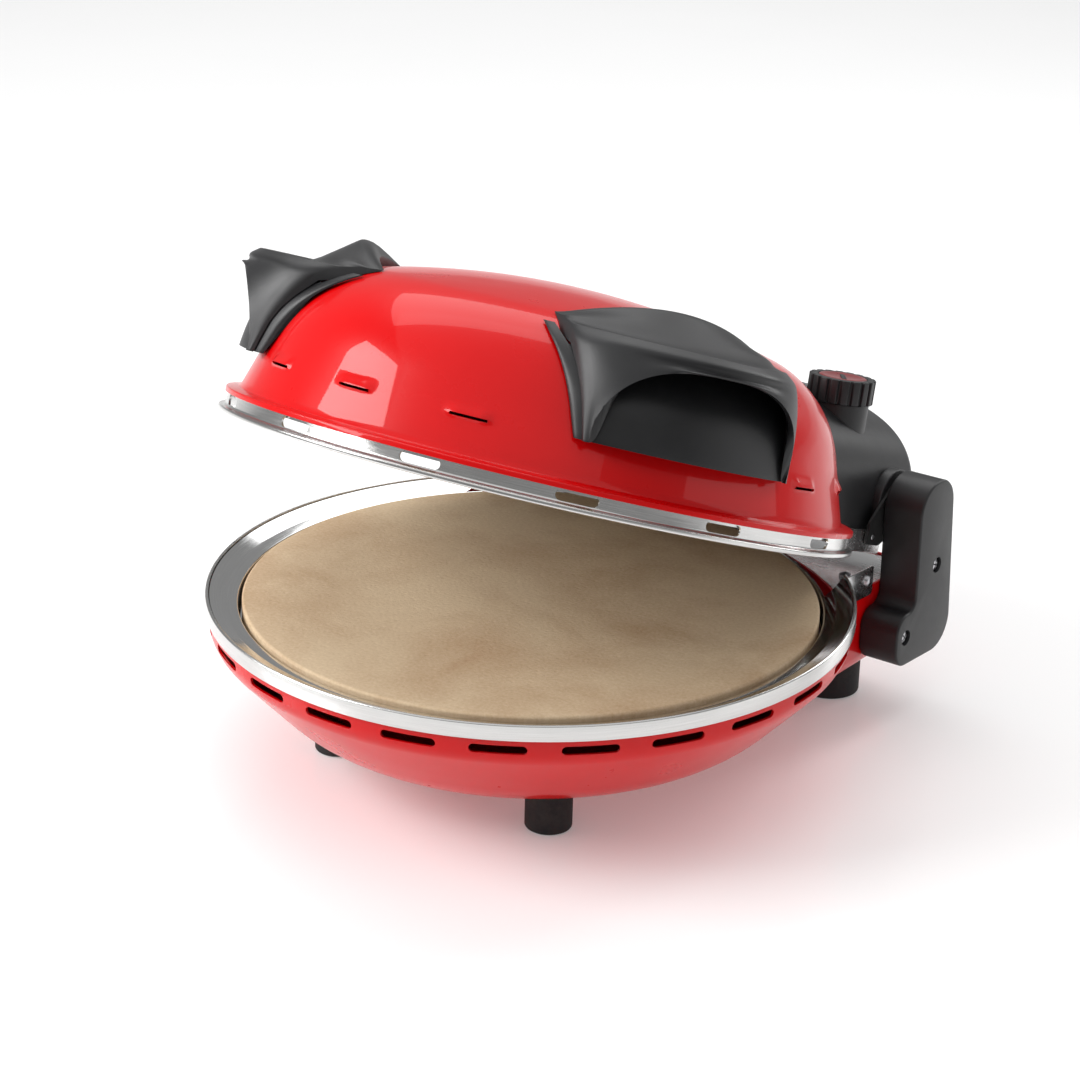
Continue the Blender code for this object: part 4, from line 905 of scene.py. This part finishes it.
def dome_radius(height):
    """Outside radius of the dome at a height above the ring's bottom."""
    crown, _, meet, shoulder, wall_top = dome_points()
    if height < wall_top[1]:
        return wall_top[0] + (wall_top[1] - height) * math.tan(WALL_LEAN)
    if height < meet[1]:
        return shoulder[0] + math.sqrt(SHOULDER_RADIUS ** 2 - (height - shoulder[1]) ** 2)
    return math.sqrt(max(CROWN_RADIUS ** 2 - (height - crown[1]) ** 2, 0.0))


def dome_profile():
    crown, tilt, _, shoulder, wall_top = dome_points()
    upright = math.pi / 2
    top = arc(crown, CROWN_RADIUS, upright, upright - tilt, 16)
    bend = arc(shoulder, SHOULDER_RADIUS, upright - tilt, WALL_LEAN, 24)
    steps = 30
    wall = []
    for i in range(1, steps + 1):
        height = wall_top[1] + (WALL_FOOT_HEIGHT - wall_top[1]) * i / steps
        wall.append((dome_radius(height), height))
    foot = wall[-1]
    flange = filleted([(*foot, 0.0), (foot[0] + 0.0012, 0.0138, 0.0010),
                       (FLANGE_RADIUS, 0.0126, 0.0008), (FLANGE_RADIUS, 0.0100, 0.0)],
                      closed=False, steps=4)
    points = [(0.0, DOME_HEIGHT)] + top[1:] + bend[1:] + wall + flange[1:]
    return [(radius, LID_Z + height) for radius, height in points]


def vent_angles():
    return [VENT_PHASE + VENT_PITCH * place for place in VENT_PLACES]


def raise_louvres(obj):
    """Press a shallow hood out of the dome above every vent."""
    low = LID_Z + VENT_HEIGHT
    for vertex in obj.data.vertices:
        rise = vertex.co.z - low
        if not -0.004 < rise < LOUVRE_HEIGHT * 1.2:
            continue
        radius = math.hypot(vertex.co.x, vertex.co.y)
        angle = math.atan2(vertex.co.x, -vertex.co.y)
        for vent in vent_angles():
            along = abs((angle - vent + math.pi) % math.tau - math.pi) * radius
            across = smooth_step((VENT_SIZE[0] / 2 + 0.0020 - along) / 0.0035)
            if rise >= 0.0:
                up = smooth_step(1.0 - rise / LOUVRE_HEIGHT)
            else:
                up = smooth_step(1.0 + rise / 0.0022)
            grow = 1.0 + LOUVRE_RISE * across * up / radius
            vertex.co.x *= grow
            vertex.co.y *= grow


def make_dome():
    dome = turned("dome", dome_profile(), closed=False, segments=384)
    raise_louvres(dome)
    lower = Matrix.Diagonal((1.0, 1.0, CROWN_SHRINK, 1.0))
    sill = Matrix.Translation((0.0, 0.0, LID_Z))
    dome.data.transform(sill @ lower @ sill.inverted())
    wall = dome.modifiers.new("wall", "SOLIDIFY")
    wall.thickness = DOME_WALL
    wall.offset = -1.0
    bake(dome)
    cut(dome, box("dome_rear_cut", (-0.19, DOME_CUT_Y, LID_Z + DOME_CUT_HEIGHT),
                  (0.19, 0.20, LID_Z + 0.12)))
    middle = LID_Z + VENT_HEIGHT - 0.0006
    half_length, half_height = VENT_SIZE[0] / 2, VENT_SIZE[1] / 2
    cut(dome, turned_boxes("vent_cuts", (-half_length, -0.175, middle - half_height),
                           (half_length, -0.140, middle + half_height), vent_angles()))
    add_piece(shade(dome, 30.0), "lid", "red_enamel", "lid_dome")


def make_dome_bead():
    """Rolled edge that follows the dome's flat rear cut."""
    radius = 0.0017
    steps = 90
    points = []
    low, high = DOME_CUT_HEIGHT + 0.0004, DOME_HEIGHT
    half_low = math.sqrt(dome_radius(low) ** 2 - DOME_CUT_Y ** 2)
    for i in range(steps + 1):
        x = half_low * math.cos(math.pi * i / steps)
        need = math.hypot(x, DOME_CUT_Y - radius)
        below, above = low, high
        for _ in range(30):
            middle = (below + above) / 2
            if dome_radius(middle) > need:
                below = middle
            else:
                above = middle
        points.append(Vector((x, DOME_CUT_Y - radius * 0.75, LID_Z + below - 0.0004)))
    bead = tube("dome_rear_bead", points, radius, 16)
    add_piece(bead, "lid", "red_enamel")


def make_lid_ring():
    inner, outer = RING_WALL_RADIUS - RING_WALL, RING_WALL_RADIUS
    profile = filleted([(inner, LID_Z + RING_HEIGHT, 0.0), (outer, LID_Z + RING_HEIGHT, 0.0),
                        (outer, LID_Z + 0.0032, 0.0016),
                        (RING_BEAD_RADIUS, LID_Z + 0.0026, 0.0010),
                        (RING_BEAD_RADIUS - 0.0001, LID_Z, 0.0011),
                        (inner, LID_Z, 0.0003)], steps=5)
    ring = turned("lid_ring", profile)
    angles = [OVAL_PHASE + OVAL_PITCH * (i + 0.5) for i in range(-5, 5)]
    cut(ring, capsules("ring_ovals", angles, RING_WALL_RADIUS, LID_Z + OVAL_Z,
                       OVAL_SIZE, 0.012))
    add_piece(shade(ring), "lid", "brushed_steel", "lid_rim_ring", finish="lid_steel")


def make_reflector():
    top, flange = LID_Z + 0.0364, LID_Z + 0.0094
    profile = filleted([(0.0, top, 0.0), (0.060, top, 0.004), (0.063, top - 0.0012, 0.004),
                        (0.1400, top - 0.0012, 0.008), (0.1462, top - 0.0052, 0.006),
                        (0.1525, flange, 0.0016), (0.1676, flange, 0.0)], closed=False)
    cap = turned("reflector", profile, closed=False, thickness=PAN_THICKNESS)
    cut(cap, box("reflector_window", (-0.022, 0.130, LID_Z + 0.0160),
                 (0.022, 0.17, LID_Z + 0.0270)))
    add_piece(shade(cap), "lid", "polished_steel", "upper_reflector",
              finish="reflector_steel")


def make_upper_heater():
    height = LID_Z + UPPER_ELEMENT_HEIGHT
    gap = math.asin(ELEMENT_LEAD_X / UPPER_ELEMENT_RING)
    bend = 0.010
    steps = 120
    lead_y = 0.168
    points = [Vector((ELEMENT_LEAD_X, lead_y, height)),
              Vector((ELEMENT_LEAD_X, UPPER_ELEMENT_RING + bend * 1.6, height))]
    for i in range(steps + 1):
        angle = math.pi - gap * 1.35 + (2 * gap * 1.35 - math.tau) * i / steps
        points.append(polar(angle, UPPER_ELEMENT_RING, height))
    points += [Vector((-p.x, p.y, p.z)) for p in reversed(points[:2])]
    add_piece(tube("upper_heater", points, ELEMENT_RADIUS, 16), "lid", "element_sheath",
              "upper_element")


def make_neck():
    """Bright box between the ring and the hinge, open below."""
    low, high = NECK_BOTTOM, LID_Z + HOUSING_BOTTOM - GAP
    outer, inner = NECK_HALF_WIDTH, NECK_HALF_WIDTH - NECK_SHEET
    under = high - NECK_SHEET
    tail, tail_rear = NECK_TAIL
    neck = box("neck", (-outer, 0.100, low), (outer, NECK_REAR_Y, high))
    soften(neck, 0.0010, 3)
    cut(neck, box("neck_tail", (-tail, 0.160, under), (tail, tail_rear, high)), "UNION")
    cut(neck, box("neck_inside", (-inner, 0.090, low - 0.01),
                  (inner, NECK_REAR_Y - NECK_SHEET, under)))
    cut(neck, box("neck_back_trim", (-inner, 0.150, low - 0.01), (inner, 0.180, 0.0935)))
    cut(neck, rods("neck_round", [((0, 0, 0.07), (0, 0, 0.12), 0.1738)], ROUND))
    add_piece(shade(neck), "lid", "polished_steel", "lid_neck")


# ---------------------------------------------------------------- rear housing and knob
def arch_ring(y, scale, shrink, bottom):
    """Arch outline on the plane at Y = y: a superellipse standing on a straight sill."""
    half = HOUSING_HALF_WIDTH * scale - shrink
    rise = HOUSING_RISE * scale - shrink
    power = 2.0 / HOUSING_POWER
    steps = 96
    foot = LID_Z + HOUSING_BOTTOM
    ring = []
    for i in range(steps + 1):
        angle = math.pi * i / steps
        u = math.copysign(abs(math.cos(angle)) ** power, math.cos(angle))
        lift = rise * math.sin(angle) ** power if 0 < i < steps else 0.0
        ring.append((half * u, y, foot + lift))
    if bottom:
        ring.append((-half, y, foot - bottom))
        ring.append((half, y, foot - bottom))
    return ring


def housing_rings(front, shrink, bottom):
    """Straight run, then a quarter-round over the rear edge."""
    rings = [arch_ring(front, 1.0, shrink, bottom)]
    steps = 12
    start = HOUSING_REAR_Y - HOUSING_ROUNDING
    turn = math.radians(75)
    for i in range(steps + 1):
        angle = turn * i / steps
        y = start + (HOUSING_ROUNDING - shrink) * math.sin(angle) / math.sin(turn)
        inward = HOUSING_ROUNDING * (1 - math.cos(angle)) / HOUSING_HALF_WIDTH
        rings.append(arch_ring(y, 1.0 - inward, shrink, bottom))
    return rings


def knob_rod(name, low, high, radius, segments=96):
    """Round rod on the knob's own axis, before it leans."""
    return rods(name, [((KNOB_X, KNOB_Y, low), (KNOB_X, KNOB_Y, high), radius)], segments)


def make_housing():
    housing = loft("housing", housing_rings(HOUSING_FRONT_Y, 0.0, 0.0))
    cut(housing, loft("housing_hollow",
                      housing_rings(HOUSING_FRONT_Y - 0.02, HOUSING_WALL, 0.006)))
    boss_top = KNOB_BOTTOM - 0.0004
    for name, low, high, radius, segments, operation in (
            ("knob_boss", 0.1412, boss_top, BOSS_RADIUS, 96, "UNION"),
            ("knob_seat", boss_top, 0.20, KNOB_RADIUS + 0.0015, 96, "DIFFERENCE"),
            ("shaft_hole", 0.12, 0.18, 0.0034, 48, "DIFFERENCE")):
        rod = knob_rod(name, low, high, radius, segments)
        rod.data.transform(KNOB_TURN)
        cut(housing, rod, operation)
    cut(housing, turned("flange_notch", [(0.1622, LID_Z + 0.0156), (0.1716, LID_Z + 0.0156),
                                         (0.1716, LID_Z + 0.005), (0.1622, LID_Z + 0.005)]))
    holes = [((LAMP[0], LAMP[1], 0.15), (LAMP[0], LAMP[1], 0.18), 0.0043)]
    for _, sign in SIDES:
        low, high = on_side(sign, HOUSING_HALF_WIDTH - HOUSING_WALL, HUB_OUTER_X)
        hub = rods("pivot_hub", [hinge_rod(low, high, HUB_RADIUS)], 128)
        cut(housing, soften(hub, 0.0010, 3), "UNION")
        holes.append(hinge_rod(sign * 0.110, sign * 0.13, HUB_BORE_RADIUS))
    cut(housing, rods("housing_holes", holes))
    add_piece(shade(housing), "lid", "black_plastic", "rear_housing")


def make_lamp():
    low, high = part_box("pilot_lamp_lens")
    centre = LID_PLACE.inverted() @ ((low + high) / 2)
    top, bottom = 0.1705, 0.1560
    profile = [(0.0, top), (0.0012, top - 0.0001), (0.0024, top - 0.0006),
               (0.0034, top - 0.0014), (0.0040, top - 0.0026), (0.0040, bottom), (0.0, bottom)]
    lens = turned("lamp_cap", profile, segments=48)
    lens.data.transform(Matrix.Translation((centre.x, LAMP[1], 0.0)))
    add_piece(shade(lens, 50.0), "lid", "lamp_lens", "pilot_lamp_lens")


def make_knob():
    bottom, top = KNOB_BOTTOM, KNOB_BOTTOM + KNOB_HEIGHT
    outline = []
    steps = KNOB_FLUTES * 16
    for i in range(steps):
        share = (i / steps * KNOB_FLUTES) % 1.0
        dip = smooth_step((share - 0.60) / 0.10) - smooth_step((share - 0.92) / 0.08)
        radius = KNOB_RADIUS - 0.0016 * dip
        angle = math.tau * i / steps
        outline.append((KNOB_X + radius * math.cos(angle), KNOB_Y + radius * math.sin(angle)))
    knob = prism("knob_body", outline, bottom, top, Matrix.Identity(4))
    soften(knob, 0.0009, 3, 60.0)
    cut(knob, knob_rod("disc_seat", top - 0.0016, top + 0.01, 0.0140))
    cut(knob, knob_rod("shaft_bore", bottom - 0.01, bottom + 0.009, 0.0033, 48))
    add_piece(shade(knob), "knob", "black_plastic", "thermostat_knob")
    make_knob_disc(top)


def make_knob_disc(top):
    """Dished red disc with a raised pointer bar across it."""
    profile = [(0.0, top - 0.0004), (0.0085, top - 0.0003), (0.0112, top + 0.0001),
               (0.0128, top + 0.0002), (0.0134, top - 0.0001), (0.0137, top - 0.0006),
               (0.0137, top - 0.0013), (0.0, top - 0.0013)]
    disc = turned("dial_disc", profile, segments=96)
    disc.data.transform(Matrix.Translation((KNOB_X, KNOB_Y, 0.0)))
    add_piece(shade(disc, 50.0), "knob", "dark_red_plastic", "knob_disc")
    outline = filleted([(-0.0014, -0.0100, 0.0013), (0.0014, -0.0100, 0.0013),
                        (0.0014, 0.0060, 0.0013), (-0.0014, 0.0060, 0.0013)], steps=6)
    place = Matrix.Translation((KNOB_X, KNOB_Y, 0.0)) @ Matrix.Rotation(0.6, 4, "Z")
    bar = prism("dial_pointer", outline, top - 0.0006, top + 0.0002, place)
    add_piece(shade(soften(bar, 0.0003, 2)), "knob", "black_plastic")


# ---------------------------------------------------------------- handles
def handle_frame(sign):
    """Outward and sideways unit vectors of a handle."""
    angle = sign * HANDLE_ANGLE
    out = Vector((math.sin(angle), -math.cos(angle), 0.0))
    along = Vector((math.cos(angle), math.sin(angle), 0.0)) * sign
    return out, along


def on_dome(height, t, away=0.0):
    """Distance from the axis to the dome, on the plane at t along the handle."""
    return math.sqrt(max(dome_radius(height) ** 2 - t * t, 0.0)) + away


def reach_at(height, reaches):
    """Half length of a handle piece at a height: longest at the lip, shorter above it."""
    if height <= LIP_Z:
        share = (height - HANDLE_BOTTOM) / (LIP_Z - HANDLE_BOTTOM)
        return reaches[0] + (reaches[1] - reaches[0]) * share
    share = min((height - LIP_Z) / 0.010, 1.0)
    return reaches[1] + (reaches[-1] - reaches[1]) * share


def base_skin(height, t):
    """Outside of the mounting plate: thin at its ends, full in the middle."""
    span = (height - HANDLE_BOTTOM) / (HANDLE_BASE_TOP - HANDLE_BOTTOM)
    swell = 0.0028 * math.sin(math.pi * clamp(span))
    end = min(abs(t) / reach_at(height, BASE_REACH), 1.0)
    fullness = math.sqrt(1.0 - end * end)
    return on_dome(height, t, PLATE_EDGE + (PLATE_FULL - PLATE_EDGE + swell) * fullness)


def place_section(points, sign):
    out, along = handle_frame(sign)
    return [out * rho + along * t + Vector((0, 0, LID_Z + height)) for rho, t, height in points]


def base_heights(steps=5, ear=0.0):
    rise = HANDLE_BASE_TOP + ear - HANDLE_BOTTOM
    return [HANDLE_BOTTOM + rise * i / steps for i in range(steps + 1)]


def base_section(s):
    share = clamp((abs(s) - EAR_START) / (EAR_FULL - EAR_START))
    heights = base_heights(18, EAR_RISE * share)
    rows = [(h, s * reach_at(min(h, LIP_Z), BASE_REACH)) for h in heights]
    away = HANDLE_CLEAR + EAR_CLEAR * share
    inner = [(on_dome(h, t, away), t, h) for h, t in rows]
    outer = [(base_skin(h, t), t, h) for h, t in reversed(rows)]
    return inner + outer


def arch_height(s):
    """Lower edge of the grip's front wall: an arch over the finger space."""
    share = min(abs(s) / ARCH_SPAN, 1.0)
    return HANDLE_BOTTOM + (ARCH_TOP - HANDLE_BOTTOM) * (1.0 - share ** 2.8) ** 0.5


def grip_section(s):
    """Hook-shaped section of the grip; it thickens to full cheeks at the ends."""
    plan = math.sqrt(max(1.0 - s * s, 0.0))
    bow = 1.0 - s * s
    cheek = smooth_step((abs(s) - CHEEK_START) / CHEEK_BLEND)

    def side(height):
        return s * reach_at(height, GRIP_REACH)

    def wall(height, fullness):
        level = min(height, HANDLE_BASE_TOP)
        rho = base_skin(level, side(level)) + GRIP_CLEAR + 0.0020 + fullness * plan
        return (rho, side(height), height)

    def lip(height, end_height, full, end):
        level = end_height + (height - end_height) * plan
        return (on_dome(level, side(level), end + (full - end) * plan), side(level), level)

    def crest(rho, height, end_rho, end_height, share):
        level = end_height + (height - end_height) * share
        return (end_rho + (rho - end_rho) * share, side(level), level)

    def under(rho, height):
        """Underside of the lip, a share of the lip's own overhang."""
        overhang = (LIP_SHARE + LIP_GROWTH * plan) / (LIP_SHARE + LIP_GROWTH)
        return (on_dome(height, side(height), (rho - 0.132) * overhang), side(height), height)

    def shift(point, rho, height):
        return (point[0] + rho, side(height), height)

    low = arch_height(s)
    mid = low + (TONGUE_Z - low) * 0.5
    outer = [wall(low, 0.002 + 0.60 * (low - HANDLE_BOTTOM)),
             wall(mid, 0.002 + 0.62 * (mid - HANDLE_BOTTOM)),
             lip(0.0790, 0.0790, 0.043, 0.0165), lip(0.0825, 0.0835, 0.0495, 0.0165),
             lip(0.0868, 0.0868, 0.0514, 0.0130),
             crest(0.1550, 0.0842, 0.1125, 0.0881, plan),
             crest(0.1420, 0.0860, 0.1095, 0.0888, plan),
             crest(0.1300, 0.0950, 0.1065, 0.0893, plan),
             crest(0.1210, 0.1022, 0.1040, 0.0896, bow),
             crest(0.1180, 0.1040, 0.1015, 0.0898, bow),
             crest(0.1120, 0.1028, 0.0990, 0.0901, bow),
             crest(0.1065, 0.0970, 0.0965, 0.0903, bow)]
    contact = [lip(h, end, GRIP_CLEAR, GRIP_CLEAR)
               for h, end in ((0.0912, 0.0886), (0.0885, 0.0865), (0.0850, 0.0840),
                              (0.0810, 0.0810))]
    skin = [(base_skin(h, side(h)) + GRIP_CLEAR, side(h), h) for h in reversed(base_heights())]
    skin[0] = shift(skin[0], 0.0, HANDLE_BASE_TOP + GRIP_CLEAR)
    hollow = [shift(skin[0], 0.0, 0.0796), under(0.1560, 0.0793), under(0.1630, 0.0790),
              under(0.1690, 0.0786), shift(outer[1], -0.0042, mid),
              shift(outer[0], -0.0040, low)]
    inner = [tuple(a + (b - a) * cheek for a, b in zip(one, two))
             for one, two in zip(hollow, skin)]
    crease = [between(outer[3], outer[4], 0.80), outer[4], between(outer[4], outer[5], 0.10)]
    return rounded_line(outer[:4] + crease + outer[5:]) + contact + inner


def between(first, second, share):
    return tuple(a + (b - a) * share for a, b in zip(first, second))


def rounded_line(points, rounds=2):
    """Cut a line's corners evenly, keeping its ends."""
    for _ in range(rounds):
        finer = [points[0]]
        for first, second in zip(points, points[1:]):
            for share in (0.25, 0.75):
                finer.append(tuple(a + (b - a) * share for a, b in zip(first, second)))
        points = finer + [points[-1]]
    return points


def spread(count):
    """Stations from -1 to 1, closer together towards both ends."""
    return [math.sin(math.pi / 2 * (2 * i / count - 1)) for i in range(count + 1)]


def make_handles():
    for side, sign in SIDES:
        stations = sorted(spread(48) + [-EAR_FULL, -EAR_START, EAR_START, EAR_FULL])
        plates = [place_section(base_section(t), sign) for t in stations]
        plate = soften(loft("handle_plate_" + side, plates), 0.0009, 3, 50.0)
        add_piece(shade(plate), "lid", "black_plastic", "handle_base_" + side)
        grips = [place_section(grip_section(t), sign) for t in spread(96)]
        grip = soften(loft("grip_" + side, grips), 0.0008, 3, 50.0)
        grip.data.transform(Matrix.Translation((0.0, 0.0, -GRIP_DROP)))
        add_piece(shade(grip), "lid", "black_plastic", "handle_grip_" + side)


# ---------------------------------------------------------------- kept CAD nodes
def finish_kept_nodes():
    slots = {row["node"]: row["material_slot"] for row in frame["record"]["subparts"]}
    for name, obj in frame["nodes"].items():
        if obj.hide_render:
            continue
        obj.data.materials.clear()
        obj.data.materials.append(FINISHES[slots[name]])


# ---------------------------------------------------------------- studio
OVEN_MIDDLE = (0.0, 0.0, 0.12)
CAMERA_FROM_BOWL = Vector((0.80005, -1.10138, 0.66200))
CAMERA_AZIMUTH = math.radians(35.828)
CAMERA_ELEVATION = math.radians(21.811)
CAMERA_ROLL = math.radians(1.58)
CAMERA_LENS = 90.6
# name, azimuth, elevation, distance, size, power and, where it is not the oven, the target
SOFTBOXES = (("key_left", -46.0, 30.0, 1.7, (1.00, 0.80), 26.0),
             ("overhead", 20.0, 78.0, 2.6, (4.2, 4.2), 30.0),
             ("rear_strip", 163.0, 30.0, 1.9, (0.45, 1.3), 9.0),
             ("far_floor", 216.0, 49.0, 4.6, (4.0, 4.0), 110.0, (-1.8, 2.5, 0.0)),
             ("right_fill", 118.0, 12.0, 2.4, (1.6, 1.2), 5.0))


def make_camera():
    data = bpy.data.cameras.new("camera")
    data.lens = CAMERA_LENS
    data.sensor_width = 36.0
    data.clip_start, data.clip_end = 0.05, 30.0
    camera = linked("camera", data)
    flat = math.cos(CAMERA_ELEVATION)
    forward = Vector((-math.sin(CAMERA_AZIMUTH) * flat, math.cos(CAMERA_AZIMUTH) * flat,
                      -math.sin(CAMERA_ELEVATION)))
    right = forward.cross(Vector((0, 0, 1))).normalized()
    up = right.cross(forward)
    x_axis = right * math.cos(CAMERA_ROLL) + up * math.sin(CAMERA_ROLL)
    y_axis = up * math.cos(CAMERA_ROLL) - right * math.sin(CAMERA_ROLL)
    turn = Matrix((x_axis, y_axis, -forward)).transposed().to_4x4()
    camera.matrix_world = Matrix.Translation(CAMERA_FROM_BOWL + Vector((0, BOWL_Y, 0))) @ turn
    bpy.context.scene.camera = camera


def add_softbox(name, azimuth, elevation, distance, size, power, target=OVEN_MIDDLE):
    """Area light on a sphere around the oven, aimed at its middle or at a given place."""
    data = bpy.data.lights.new(name, "AREA")
    data.shape = "RECTANGLE"
    data.size, data.size_y = size
    data.energy = power
    lamp = linked(name, data)
    a, e = math.radians(azimuth), math.radians(elevation)
    away = Vector((math.sin(a) * math.cos(e), -math.cos(a) * math.cos(e), math.sin(e)))
    lamp.location = Vector(OVEN_MIDDLE) + away * distance
    lamp.rotation_mode = "QUATERNION"
    lamp.rotation_quaternion = (Vector(target) - lamp.location).to_track_quat("-Z", "Y")


def make_studio():
    floor_look = Finish("studio_floor", (0.86, 0.86, 0.86), 0.16, 0.0, Specular_IOR_Level=0.35,
                        Emission_Color=(1.0, 1.0, 1.0, 1.0), Emission_Strength=0.18)
    floor_look.roughness(floor_look.noise(3.0, 2.0), 0.14, 0.18)
    bm = bmesh.new()
    bmesh.ops.create_grid(bm, x_segments=2, y_segments=2, size=9.0)
    floor = from_bmesh("studio_floor", bm)
    floor.data.materials.append(floor_look.material)
    floor.location.z = -0.0002
    world = bpy.data.worlds.new("studio")
    world.use_nodes = True
    backdrop = world.node_tree.nodes["Background"].inputs
    backdrop["Color"].default_value = (1.0, 1.0, 1.0, 1.0)
    backdrop["Strength"].default_value = 0.30
    bpy.context.scene.world = world
    bpy.context.scene.view_settings.view_transform = "Standard"
    for row in SOFTBOXES:
        add_softbox(*row)


for make in (make_camera, make_studio, make_base_shell, make_rim_band, make_rim_tabs,
             make_inner_pan, make_stone, make_feet, make_gland, make_arms, make_deck_screws,
             make_dome, make_dome_bead, make_lid_ring, make_reflector, make_upper_heater,
             make_neck, make_housing, make_lamp, make_knob, make_handles, finish_kept_nodes):
    make()
